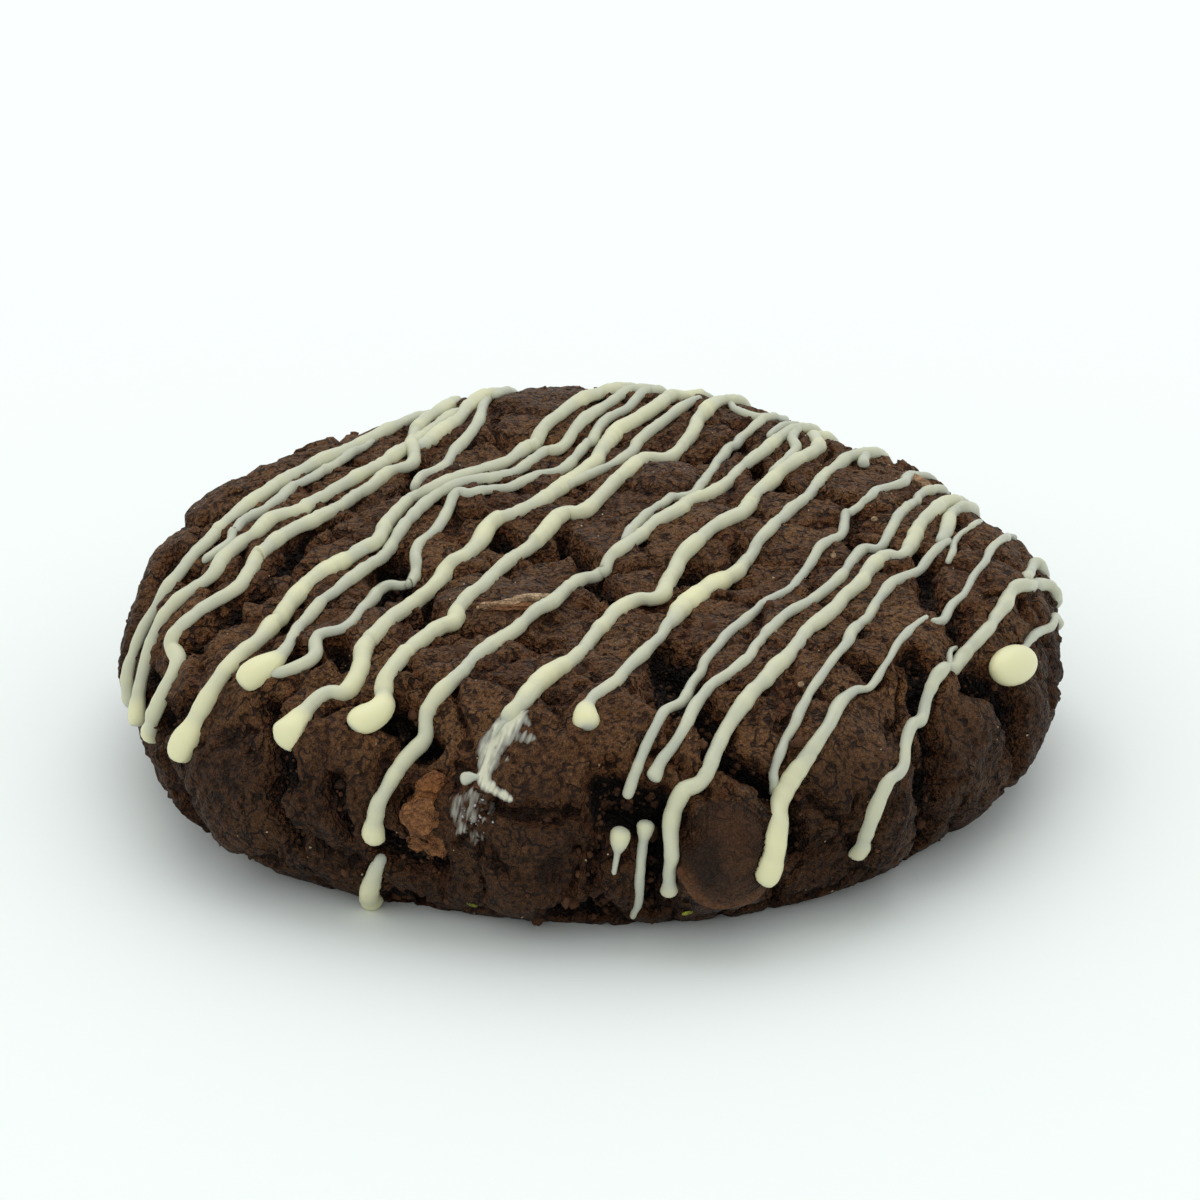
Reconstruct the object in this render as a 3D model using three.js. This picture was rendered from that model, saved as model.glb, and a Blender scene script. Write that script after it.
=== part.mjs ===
// A brownie cookie: a thick round of dark cracked dough with pale drizzle run across it.
// Millimetres, +Z up, standing on z = 0 with the origin under its middle.
// The drizzle runs from the back right to the front left, and X goes to the right.
import * as THREE from "three";
import { ConvexHull } from "three/addons/math/ConvexHull.js";

// The round of dough, before its crags
const halfWidth = 49;          // from the middle to the widest part of the side
const thickness = 24.4;        // at the middle of the top crust
const shoulderOut = 12.9;      // how far in the rounded shoulder begins
const shoulderDown = 13.2;     // how far down the shoulder reaches its widest
const rimDrop = 0.9;           // how much lower the top is at its rim
const middle = [0.49, 0.48];   // the middle of the finished box, in the round's own x and y

// The outline's lobes: how many, how strong, and the bearing of one of them in degrees
const lobes = [[2, 0.012, 90], [3, 0.023, -30], [4, 0.012, 0], [5, 0.013, 6]];

// Places on the crust are given as if it lay flat: x to the right and y to the back,
// measured from the middle over the top and on down the side.
const flatTop = halfWidth - shoulderOut;
const tuck = Math.acos(1 - thickness / shoulderDown);     // how far round the shoulder turns under
const flatRadius = flatTop + shoulderOut * tuck;          // where the side meets the plate
const footRadius = flatTop + shoulderOut * Math.sin(tuck);
const footFade = [1.9, 2.5];                              // turn of the shoulder where crags level out

// Broad swells and hollows of the crust: x, y, radius, height
const swells = [
  [-16, 8, 7, 1.9], [-4, 19, 7, -1.5], [9, 23, 5, -1.3], [-7, 2, 6, 0.9], [-18, -14, 4, -1.9],
  [-31, -21, 5, -1.7], [-23, -34, 4, -1.7], [-43, -32, 6, 1.9], [-32, -31, 4, 1.2], [-29, -39, 4, 1.2],
  [-35, -13, 4, -0.9], [-31, 1, 4, 1.0], [-24, 9, 4, -1.4], [7, -16, 3.5, -1.0], [15, -10, 3.5, -1.0],
  [21, -14, 4, -0.8], [12, 1, 6, 1.0], [29, 7, 5, 1.0], [34, 12, 4, -0.9], [31, -5, 3, -0.9],
  [11, -47, 5, 1.2], [38, -25, 3.5, -1.1], [35, -29, 3.5, 1.4], [31, -43, 4.5, 1.4], [45, -8, 5, 0.9],
  [-17, -43, 4, -1.2], [28, -34, 3, -1.0], [-42, -23, 3.5, -1.0], [-13, -24, 3.5, -0.8],
  [14, 12, 4, -0.9], [0, -48, 7, 1.2], [-8, -58, 8, 1.0], [-42, -46, 7, 1.4],
];

// Smooth rounded lumps of dough: x, y, radius, height
const lumps = [
  [15.3, -55, 7.4, 2.8], [25.5, -42, 5.6, 1.4], [36, -47.5, 4.6, 2], [-28, -45, 6.5, 1.6],
  [-40, -41, 6.5, 1.3], [-35, -50, 4, 1], [-45.5, 1.5, 4.2, 1.2], [-41, 13.5, 4.2, 1.3], [-5, 38, 6, 1],
  [52, -24, 7, 1.2], [-9, -19, 6, 0.8], [8, 15, 4.5, 0.8], [-6, -50, 7.5, 0.8], [-8, -63, 6, 0.9],
  [43, -33, 5.5, 1.2], [-33, -58, 5, 1],
];

// Deep cracks and pits: width, depth, and the route
const cracks = [
  [2.4, 3, [-18.5, 19], [-19, 14], [-20.5, 9]], [2.2, 2.2, [-20.5, 9], [-25, 5], [-29, -1]],
  [2.4, 2.8, [-29, -1], [-31, -5], [-31, -10]], [3.2, 3.4, [-33, -14], [-36, -17]],
  [2.4, 2.6, [-36, -18], [-39, -20.5], [-42, -22]], [4.2, 4, [-20, -7], [-19.5, -13]],
  [2.4, 2.4, [-19.5, -13], [-22, -16]], [1.8, 2.2, [-16.5, -13], [-16, -18], [-16.2, -24]],
  [2.8, 3, [-10, -2.5], [-6.5, -6], [-4, -7]], [1.8, 3, [-2.6, -1.5], [-2.4, -6]],
  [2.2, 2.4, [-2, -5], [0, -10], [1.5, -14]], [3.2, 3.4, [0.5, -14.5], [2.5, -17.5]],
  [5, 4.2, [10, -11], [13.5, -12.5]], [1.6, 2, [15, -3], [15.3, -9]], [2.2, 3, [21, 14.5], [22, 10.5]],
  [2, 2.4, [23, 10], [26, 7.5], [28, 6]], [2.2, 2.6, [27, -1.5], [29.5, -4]],
  [2.4, 2.4, [7, 19], [12, 22], [17, 26]], [1.8, 2.4, [18.8, 19.5], [19.5, 15.5]],
  [3.2, 3, [-28.5, -28], [-27.5, -30]], [2.6, 3.2, [-24.5, -27], [-24, -30]],
  [3.4, 3.4, [-20, -39], [-18.5, -42], [-17, -44]], [2.2, 1.8, [-12, -25], [-9, -27]],
  [2.6, 3, [-6.5, -28], [-4, -29.5]], [5.4, 4.4, [8, -30], [8.5, -35], [7.5, -39]],
  [2.6, 3.2, [10.5, -40], [12.5, -44]], [2.6, 3.4, [12, -45.5], [16, -47], [19, -48.5]],
  [3, 3.2, [19, -48.5], [22, -51], [24, -53]], [6.2, 4.2, [2.5, -51.5], [7.5, -52.5]],
  [2.8, 2.6, [8, -54], [8.5, -64]], [2.4, 1.6, [1.2, -55], [0.8, -60], [1.5, -64]],
  [1.4, 1.4, [-10, -51.5], [-5, -52.5], [0, -52]], [3.4, 3.2, [-24, -53], [-21, -56]],
  [2.6, 3, [-31, -35], [-31, -42]], [2.2, 2.4, [-31, -42], [-34, -44], [-33.5, -48]],
  [2, 2.2, [-26, -45], [-27, -50]], [2.8, 3.2, [32.5, -28], [33.5, -31]],
  [2.6, 3, [33, -31], [34, -34], [37, -37]], [2, 2, [25, -30.5], [28.5, -32]],
  [2.4, 2.6, [33.5, -4], [34.5, -11], [35, -18]], [2.6, 3.2, [37, -17], [37.5, -21]],
  [3.4, 3.6, [39, -26.5], [43, -25], [48, -26], [51, -28]], [5, 4.2, [37.5, -41], [40, -44], [46, -45]],
  [2.4, 2.4, [40, 7], [38.5, 3]], [2, 2.2, [45, -10], [46, -12]],
  [2.4, 2.6, [-41.5, -7.5], [-41.5, -10.5]], [3, 2.6, [-44, -2], [-48, -12], [-50, -22]],
  [3, 3.2, [-52, 10], [-45, 8], [-38, 5]], [2.6, 2.6, [-47, -21], [-45, -25]],
  [3, 3, [-45, -28], [-42, -30]], [2.6, 2.2, [-20, -50], [-18, -54], [-19, -58]],
  [2.4, 2.2, [30, 30], [38, 36], [46, 38]], [2.4, 2.2, [-10, 44], [-14, 52], [-12, 60]],
  [2.6, 2.4, [-36, 34], [-44, 40]], [2.4, 2.2, [8, 46], [12, 54]], [2.4, 2.4, [52, 8], [60, 6]],
  [5, 3, [-4.5, -65.5], [-1, -64.5], [2, -65]], [3.6, 2.4, [22, -62], [26, -60]],
  [4, 2.4, [-30, -60], [-25, -62.5]], [3.6, 2.4, [-48, -44], [-45, -48]],
];

// Finer breaking-up of the crust into plates
const plate = { across: 9.5, stray: 0.8, crackWidth: 2.6, crackDepth: 0.8, step: 1.1 };
const wander = { across: 5.5, reach: 1.5 };    // how the edges of the plates stray sideways
const grit = { across: 3.5, height: 0.25 };

// Drizzle: full width, radius of the drop at the front end, and the route from back to front,
// as it looks from sightAngle above the plate
const drizzle = [
  [1.6, 0, [-16, 42], [-33, 15], [-44, -7.5], [-56, -15]],
  [1.2, 0, [-24, 27], [-40, -6]],
  [1.8, 1.3, [-14, 36], [-30.6, 5.6], [-33.4, 3.6], [-39, -10], [-53, -21.5]],
  [1.8, 1.2, [-14, 42], [-19.3, 30], [-19.5, 20], [-31, 0.4], [-35.4, -14], [-42.5, -19], [-42.3, -22.8],
    [-46, -25.6], [-51, -25]],
  [1.8, 0, [-8, 49], [-19, 24]],
  [1.3, 0, [-6, 50], [-18.8, 11]],
  [1.6, 0, [7, 47], [-2, 34.4], [-8.8, 19.6], [-19, 9], [-22, -3.2], [-24.5, -6.6]],
  [2, 1.7, [-22.6, -4], [-24.6, -6.8], [-31.8, -23.2], [-43.5, -33]],
  [1.4, 1.75, [10, 48], [-7.6, 16.8], [-14.4, 11.6], [-30, -28.5], [-34, -30.6]],
  [1.3, 0, [9, 46], [-3.2, 16], [-13.2, 7.6], [-18.5, -14], [-20.4, -14.6], [-27.2, -30], [-31, -31]],
  [1.8, 1.6, [14, 47], [2.8, 26.5], [0, 16.8], [-8.8, 2.8], [-20.4, -24], [-22.4, -33.6], [-30.5, -39.4]],
  [1.3, 0, [12, 38], [3.5, 19], [-4.6, 8.8]],
  [1.7, 1.7, [19, 48], [14, 38.4], [8.4, 20], [5.8, 19.4], [0.4, 6.4], [-2.6, 4.2], [-13.4, -23.8],
    [-20.6, -38.6], [-23.4, -40.4]],
  [1.2, 0, [22, 38], [12.4, 13.2], [9.7, 10.5], [3.6, -3.4]],
  [1.6, 1.1, [28, 39], [-16.6, -43.4], [-25, -52.4]],
  [1.9, 1.2, [-25, -54.5], [-33, -60]],
  [1.3, 0, [28, 42], [23.2, 30], [23.4, 24.6], [20.6, 15.4]],
  [1.6, 0, [32, 42], [26, 31], [26, 25.4], [12, -1.2], [7.4, -16.4], [4.8, -18], [-0.8, -31],
    [-8, -42.2]],
  [1.4, 1.3, [37, 33], [27.2, 18], [19.6, 2.4], [14.8, -11.6], [9.6, -19], [0.6, -39.6], [-0.1, -44.2]],
  [2.4, 0, [17, -6], [14.8, -11.6], [9.6, -19], [7.4, -25]],
  [1, 0.7, [44, 32], [27, 4], [21.3, -13.4], [13.2, -27], [4, -50.4]],
  [1.1, 0.8, [41, 20], [6.2, -48.4]],
  [1.6, 0.9, [43, 18], [9.2, -49.6], [10, -60.8]],
  [1.1, 0, [37, -1.5], [20, -40], [18.4, -45], [19.2, -48.4]],
  [0.8, 0, [34.2, -20.4], [28.2, -33.4], [26.2, -34.6]],
  [1.4, 1.4, [27.4, -34.2], [23.6, -38.4], [20.4, -46], [19.2, -55.8]],
  [0.9, 0, [50, 17], [34.4, -21.2]],
  [1.6, 0, [45, 18], [40.5, 11], [36, -2.6]],
  [0.8, 0, [42, 8], [36.6, -8]],
  [1.5, 1, [58, 15], [45, -6], [38, -26.4], [35.4, -28], [34.2, -34.8], [29.8, -43], [33, -51.4]],
  [1.3, 0, [51, 10], [45, -4.6]],
  [0.7, 0, [38.2, -23.4], [36.8, -27]],
  [1, 0, [60, 10], [50.6, -4.8], [46, -17.5]],
  [4.1, 0, [46.7, -17], [41.7, -23.2]],
  [0.8, 1, [2.9, -58.6], [3.6, -53.6]],
  [1, 0.8, [6.4, -53], [6.4, -65.8]],
  [1.2, 0, [35, 38], [31, 19]],
  [1.1, 0, [15, 40], [16.5, 35], [19.5, 33.5], [22.5, 38]],
  [0.9, 0, [24, 36], [20, 27.5]],
];
const sightAngle = 24;         // degrees
const lowestSight = 16;        // least angle between the sight and the crust that is reckoned with
const drizzleRise = 0.58;      // height of a line of drizzle over its width
const flattens = 0.95;         // half width from which a drop spreads more than it rises
const bridging = 1.8;          // how far either way a line evens out the crags under it
const dip = 0.35;              // how far a line sinks into a crack, over the crack's depth
const roundedEnd = 0.6;        // length of a line's rounded end over its width
const dropLength = 1.1;        // half length of a drop over its radius
const leastHalf = 0.3;         // half width at the very end of a line
const stationStep = 0.6;       // between the places worked out along a line

// How closely the surface is set out
const along = 2.1;             // steps along a line of drizzle
const crestApart = 0.95;       // least distance between places on the lines' crests
const skirt = 0.15;            // how far beside a line its edge meets the dough
const edgeApart = 0.75;        // least distance of a place beside a line from those before it
const between = 1.9;           // steps across bare crust
const bareApart = 0.72;        // least distance of a place on bare crust, over the step
const footStep = 2.6;          // steps round the foot
const footApart = 0.1;         // least distance between places round the foot
const footBand = 1.3;          // breadth of the band above the foot that is left to the foot's own places
const footRings = [[38, 44], [30, 26], [20, 14], [9, 7]];   // underside rings: radius, points

const fade = (from, to, v) => THREE.MathUtils.smoothstep(v, from, to);

// A fixed value from 0 to 1 for a whole-number place
function scatter(i, j, kind) {
  const s = Math.sin(i * 127.1 + j * 311.7 + kind * 74.7) * 43758.5453;
  return s - Math.floor(s);
}

// Rolling unevenness from -1 to 1, one swell or so to a unit
function rolling(x, y, kind) {
  const i = Math.floor(x), j = Math.floor(y);
  const u = fade(0, 1, x - i), v = fade(0, 1, y - j);
  const near = scatter(i, j, kind) * (1 - u) + scatter(i + 1, j, kind) * u;
  const far = scatter(i, j + 1, kind) * (1 - u) + scatter(i + 1, j + 1, kind) * u;
  return 2 * (near * (1 - v) + far * v) - 1;
}

// Height of the broken plates: level inside each, lower along the border between two
function plates(x, y) {
  const ci = Math.floor(x / plate.across), cj = Math.floor(y / plate.across);
  let nearest = Infinity, second = Infinity, lift = 0;
  for (let i = ci - 1; i <= ci + 1; i++) {
    for (let j = cj - 1; j <= cj + 1; j++) {
      const px = (i + 0.5 + plate.stray * (scatter(i, j, 1) - 0.5)) * plate.across;
      const py = (j + 0.5 + plate.stray * (scatter(i, j, 2) - 0.5)) * plate.across;
      const d = Math.hypot(x - px, y - py);
      if (d < nearest) {
        second = nearest;
        nearest = d;
        lift = plate.step * (scatter(i, j, 3) - 0.5);
      } else if (d < second) {
        second = d;
      }
    }
  }
  const inside = fade(0, plate.crackWidth, second - nearest);
  return lift * inside - plate.crackDepth * (1 - inside);
}

// Distance from a place to a line from a to b
function toLine(x, y, [ax, ay], [bx, by]) {
  const dx = bx - ax, dy = by - ay;
  const t = THREE.MathUtils.clamp(((x - ax) * dx + (y - ay) * dy) / (dx * dx + dy * dy), 0, 1);
  return Math.hypot(x - ax - t * dx, y - ay - t * dy);
}

// Height of the dough's crags over the plain round, its deep cracks cut to the given share of their depth
function crags(x, y, cracked = 1) {
  const wx = x + wander.reach * rolling(x / wander.across, y / wander.across, 4);
  const wy = y + wander.reach * rolling(x / wander.across, y / wander.across, 5);
  let swell = 0;
  for (const [sx, sy, radius, height] of swells) {
    swell += height * Math.exp(-((x - sx) ** 2 + (y - sy) ** 2) / (radius * radius));
  }
  let dome = 0, bare = 1;
  for (const [lx, ly, radius, height] of lumps) {
    const inside = Math.max(0, 1 - ((x - lx) ** 2 + (y - ly) ** 2) / (radius * radius));
    dome = Math.max(dome, height * Math.sqrt(inside));
    bare = Math.min(bare, 1 - fade(0, 0.5, inside));
  }
  let cut = 0;
  for (const [width, depth, ...route] of cracks) {
    for (let n = 1; n < route.length; n++) {
      const away = toLine(x, y, route[n - 1], route[n]);
      cut = Math.max(cut, depth * (1 - fade(0.15 * width, 0.65 * width, away)));
    }
  }
  const roughness = grit.height * rolling(x / grit.across, y / grit.across, 6);
  return swell + dome + plates(wx, wy) * bare + roughness - cracked * cut;
}

// How much further back a place was read for standing above the plain round
function sightShift(x, y, height) {
  const q = Math.hypot(x, y);
  const turn = Math.max(0, (q - flatTop) / shoulderOut);
  const angle = THREE.MathUtils.degToRad(sightAngle) - turn * y / Math.max(q, 1);
  return height / Math.tan(THREE.MathUtils.clamp(angle, THREE.MathUtils.degToRad(lowestSight), Math.PI / 2));
}

// Level of the crust along a line of drizzle: its crags with the cracks mostly bridged, evened both ways
function evenLevels(places) {
  const levels = places.map((p) => crags(p.x, p.y, dip));
  const reach = Math.round(bridging / stationStep);
  return places.map((p, n) => {
    const window = levels.slice(Math.max(0, n - reach), n + reach + 1);
    return window.reduce((sum, v) => sum + v, 0) / window.length;
  });
}

// Each line of drizzle as evenly spaced stations: place, heading, half width and level of its underside
function stations([width, drop, ...route]) {
  const curve = new THREE.CatmullRomCurve3(route.map(([x, y]) => new THREE.Vector3(x, y, 0)), false,
    "centripetal");
  const length = curve.getLength();
  const count = Math.ceil(length / stationStep);
  const seen = curve.getSpacedPoints(count);
  let places = seen;
  for (let pass = 0; pass < 3; pass++) {
    const levels = evenLevels(places);
    places = seen.map((p, n) => {
      const middleOfBead = levels[n] + drizzleRise * width / 2;
      return new THREE.Vector3(p.x, p.y - sightShift(p.x, p.y, middleOfBead), 0);
    });
  }
  const levels = evenLevels(places);
  return places.map((p, n) => {
    const s = n * length / count;
    const heading = places[Math.min(n + 1, count)].clone().sub(places[Math.max(n - 1, 0)]).normalize();
    const toEnd = Math.min(s, length - s);
    let half = width / 2 * Math.sqrt(fade(-0.2, roundedEnd * width, toEnd));
    if (drop > 0) {
      const fromDrop = (length - s - drop) / (dropLength * drop);
      half = Math.max(half, drop * Math.sqrt(Math.max(0, 1 - fromDrop * fromDrop)));
    }
    return { x: p.x, y: p.y, s, heading, half: Math.max(half, leastHalf), level: levels[n] };
  });
}
const lines = drizzle.map(stations);

// Height of the drizzle's top over a place, or the given level where that is higher
function overDrizzle(x, y, level) {
  let top = level;
  for (const line of lines) {
    for (const p of line) {
      const away = Math.hypot(x - p.x, y - p.y) / p.half;
      if (away < 1) {
        const rise = 2 * drizzleRise * Math.sqrt(p.half * Math.min(p.half, flattens));
        top = Math.max(top, p.level + rise * Math.sqrt(1 - away * away));
      }
    }
  }
  return top;
}

// A place on the crust, raised squarely off the plain round
function onRound(x, y, lift) {
  const q = Math.hypot(x, y);
  const bearing = Math.atan2(y, x);
  const turn = Math.max(0, (q - flatTop) / shoulderOut);
  const plain = turn > 0 ? flatTop + shoulderOut * Math.sin(turn) : q;
  const level = thickness - shoulderDown * (1 - Math.cos(turn));
  const sag = rimDrop * (Math.min(plain, halfWidth) / halfWidth) ** 2 * Math.max(0, level / thickness);
  let outline = 1;
  for (const [count, strength, at] of lobes) {
    outline += strength * Math.cos(count * (bearing - THREE.MathUtils.degToRad(at)));
  }
  const out = plain * outline + lift * Math.sin(turn);
  const up = level - sag + lift * Math.cos(turn) * (1 - fade(...footFade, turn));
  return new THREE.Vector3(out * Math.cos(bearing) - middle[0], out * Math.sin(bearing) - middle[1],
    Math.max(up, 0));
}

// Places spread over the crust, each with its height, never closer than each kind allows
const kept = new Map();
const places = [];
function add(x, y, level, apart) {
  const ci = Math.floor(x / 2), cj = Math.floor(y / 2);
  for (let i = ci - 1; i <= ci + 1; i++) {
    for (let j = cj - 1; j <= cj + 1; j++) {
      for (const [px, py] of kept.get(`${i} ${j}`) ?? []) {
        if (Math.hypot(x - px, y - py) < apart) {
          return;
        }
      }
    }
  }
  const cell = `${ci} ${cj}`;
  kept.set(cell, [...(kept.get(cell) ?? []), [x, y]]);
  places.push([x, y, overDrizzle(x, y, level)]);
}

const footCount = Math.round(2 * Math.PI * footRadius / footStep);
for (let n = 0; n < footCount; n++) {
  const bearing = 2 * Math.PI * n / footCount;
  const x = flatRadius * Math.cos(bearing), y = flatRadius * Math.sin(bearing);
  add(x, y, crags(x, y), footApart);
}
for (const line of lines) {
  let next = 0;
  for (const p of line) {
    if (p.s >= next || p === line[line.length - 1]) {
      add(p.x, p.y, p.level, crestApart);
      next = p.s + along;
    }
  }
}
for (const line of lines) {
  let next = 0;
  for (const p of line) {
    if (p.s >= next) {
      for (const side of [-1, 1]) {
        const out = side * (p.half + skirt);
        add(p.x - out * p.heading.y, p.y + out * p.heading.x, p.level, edgeApart);
      }
      next = p.s + along;
    }
  }
}
const rows = Math.ceil(flatRadius / (between * Math.sqrt(0.75)));
for (let j = -rows; j <= rows; j++) {
  for (let i = -rows; i <= rows; i++) {
    const x = (i + 0.5 * (j & 1) + 0.4 * (scatter(i, j, 7) - 0.5)) * between;
    const y = (j * Math.sqrt(0.75) + 0.4 * (scatter(i, j, 8) - 0.5)) * between;
    if (Math.hypot(x, y) < flatRadius - footBand) {
      add(x, y, crags(x, y), bareApart * between);
    }
  }
}

// The crust is rolled round a ball, with the foot just below its equator, and the underside closes it.
// The hull of the places on the ball gives the triangles.
const footTurn = THREE.MathUtils.degToRad(112);
const crustScale = flatRadius / Math.tan(footTurn / 2);
const footScale = footRadius / Math.tan((Math.PI - footTurn) / 2);
function onBall(turn, bearing) {
  return new THREE.Vector3(Math.sin(turn) * Math.cos(bearing), Math.sin(turn) * Math.sin(bearing),
    Math.cos(turn));
}

const ball = [];
const finished = [];
for (const [x, y, level] of places) {
  ball.push(onBall(2 * Math.atan(Math.hypot(x, y) / crustScale), Math.atan2(y, x)));
  finished.push(onRound(x, y, level));
}
for (const [radius, count] of [...footRings, [0, 1]]) {
  for (let n = 0; n < count; n++) {
    const bearing = 2 * Math.PI * (n + 0.3) / count;
    ball.push(onBall(Math.PI - 2 * Math.atan(radius / footScale), bearing));
    finished.push(new THREE.Vector3(radius * Math.cos(bearing) - middle[0],
      radius * Math.sin(bearing) - middle[1], 0));
  }
}

const hull = new ConvexHull().setFromPoints(ball);
const order = new Map(ball.map((point, n) => [point, n]));
const triangles = [];
for (const face of hull.faces) {
  let edge = face.edge;
  do {
    triangles.push(order.get(edge.head().point));
    edge = edge.next;
  } while (edge !== face.edge);
}

const geometry = new THREE.BufferGeometry().setFromPoints(finished);
geometry.setIndex(triangles);
geometry.computeVertexNormals();
const dough = new THREE.MeshStandardMaterial({ color: 0x38241a, roughness: 0.8, metalness: 0 });
const cookie = new THREE.Mesh(geometry, dough);
cookie.name = "brownie_cookie";

const group = new THREE.Group();
group.add(cookie);
export default group;
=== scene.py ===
import math

import bmesh
import bpy
import numpy as np
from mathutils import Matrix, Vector


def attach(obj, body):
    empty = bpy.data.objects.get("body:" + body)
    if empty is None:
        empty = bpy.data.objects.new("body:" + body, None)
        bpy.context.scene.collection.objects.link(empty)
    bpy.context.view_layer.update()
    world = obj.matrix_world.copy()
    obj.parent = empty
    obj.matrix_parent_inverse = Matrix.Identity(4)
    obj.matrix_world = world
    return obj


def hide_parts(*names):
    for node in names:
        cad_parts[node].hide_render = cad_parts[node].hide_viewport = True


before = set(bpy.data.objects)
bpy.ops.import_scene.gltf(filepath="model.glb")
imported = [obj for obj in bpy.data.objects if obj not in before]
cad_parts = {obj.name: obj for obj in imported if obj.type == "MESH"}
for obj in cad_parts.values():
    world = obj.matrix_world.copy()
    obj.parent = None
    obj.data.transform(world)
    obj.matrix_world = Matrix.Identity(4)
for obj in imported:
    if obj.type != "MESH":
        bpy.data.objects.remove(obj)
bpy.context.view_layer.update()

node = "brownie_cookie"
mm = 0.001

# Places on the crust are given as if it lay flat, in millimetres: x to the right and y to the back,
# measured from the middle over the top and on down the side.
roundForm = {
    "halfWidth": 49.0, "thickness": 24.4,       # the plain round of dough
    "shoulderOut": 12.9, "shoulderDown": 13.2,  # its rounded shoulder
    "rimDrop": 0.9,                             # how much lower the top is at its rim
    "middle": (0.49, 0.48),                      # the finished box's middle in the round's own x and y
    "lobes": ((2, 0.012, 90), (3, 0.023, -30), (4, 0.012, 0), (5, 0.013, 6)),  # count, strength, bearing
    "footFade": (1.9, 2.5),                     # turn of the shoulder where crags level out
}
flatTop = roundForm["halfWidth"] - roundForm["shoulderOut"]
tuck = math.acos(1 - roundForm["thickness"] / roundForm["shoulderDown"])
flatRadius = flatTop + roundForm["shoulderOut"] * tuck


def fadeIn(low, high, v):  # a smooth step from 0 at low to 1 at high
    t = np.clip((v - low) / (high - low), 0, 1)
    return t * t * (3 - 2 * t)


def scatter(i, j, kind):  # fixed values from 0 to 1 for whole-number places
    s = np.sin(i * 127.1 + j * 311.7 + kind * 74.7) * 43758.5453
    return s - np.floor(s)


def rolling(x, y, kind):  # scattered values blended smoothly over a unit grid, from -1 to 1
    i, j = np.floor(x), np.floor(y)
    u, v = fadeIn(0, 1, x - i), fadeIn(0, 1, y - j)
    near = scatter(i, j, kind) * (1 - u) + scatter(i + 1, j, kind) * u
    far = scatter(i, j + 1, kind) * (1 - u) + scatter(i + 1, j + 1, kind) * u
    return 2 * (near * (1 - v) + far * v) - 1


def layered(x, y, kind, layers):  # rolling noise summed at halving sizes and halving strengths
    total, strength = 0, 1
    for n in range(layers):
        total = total + strength * rolling(x * 2 ** n, y * 2 ** n, kind + 10 * n)
        strength = strength / 2
    return total


def cells(x, y, across, stray, kind):  # distance to the nearest and second nearest cell middle
    ci, cj = np.floor(x / across), np.floor(y / across)
    nearest, second, mark = np.full(x.shape, 1e9), np.full(x.shape, 1e9), np.zeros(x.shape)
    for i in (-1, 0, 1):
        for j in (-1, 0, 1):
            a, b = ci + i, cj + j
            px = (a + 0.5 + stray * (scatter(a, b, kind) - 0.5)) * across
            py = (b + 0.5 + stray * (scatter(a, b, kind + 1) - 0.5)) * across
            d = np.hypot(x - px, y - py)
            closer = d < nearest
            second = np.where(closer, nearest, np.minimum(second, d))
            mark = np.where(closer, scatter(a, b, kind + 2), mark)
            nearest = np.minimum(nearest, d)
    return nearest, second, mark


def toLine(x, y, a, b):  # distance from places to the straight line from a to b
    dx, dy = b[0] - a[0], b[1] - a[1]
    t = np.clip(((x - a[0]) * dx + (y - a[1]) * dy) / (dx * dx + dy * dy), 0, 1)
    return np.hypot(x - a[0] - t * dx, y - a[1] - t * dy)


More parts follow.
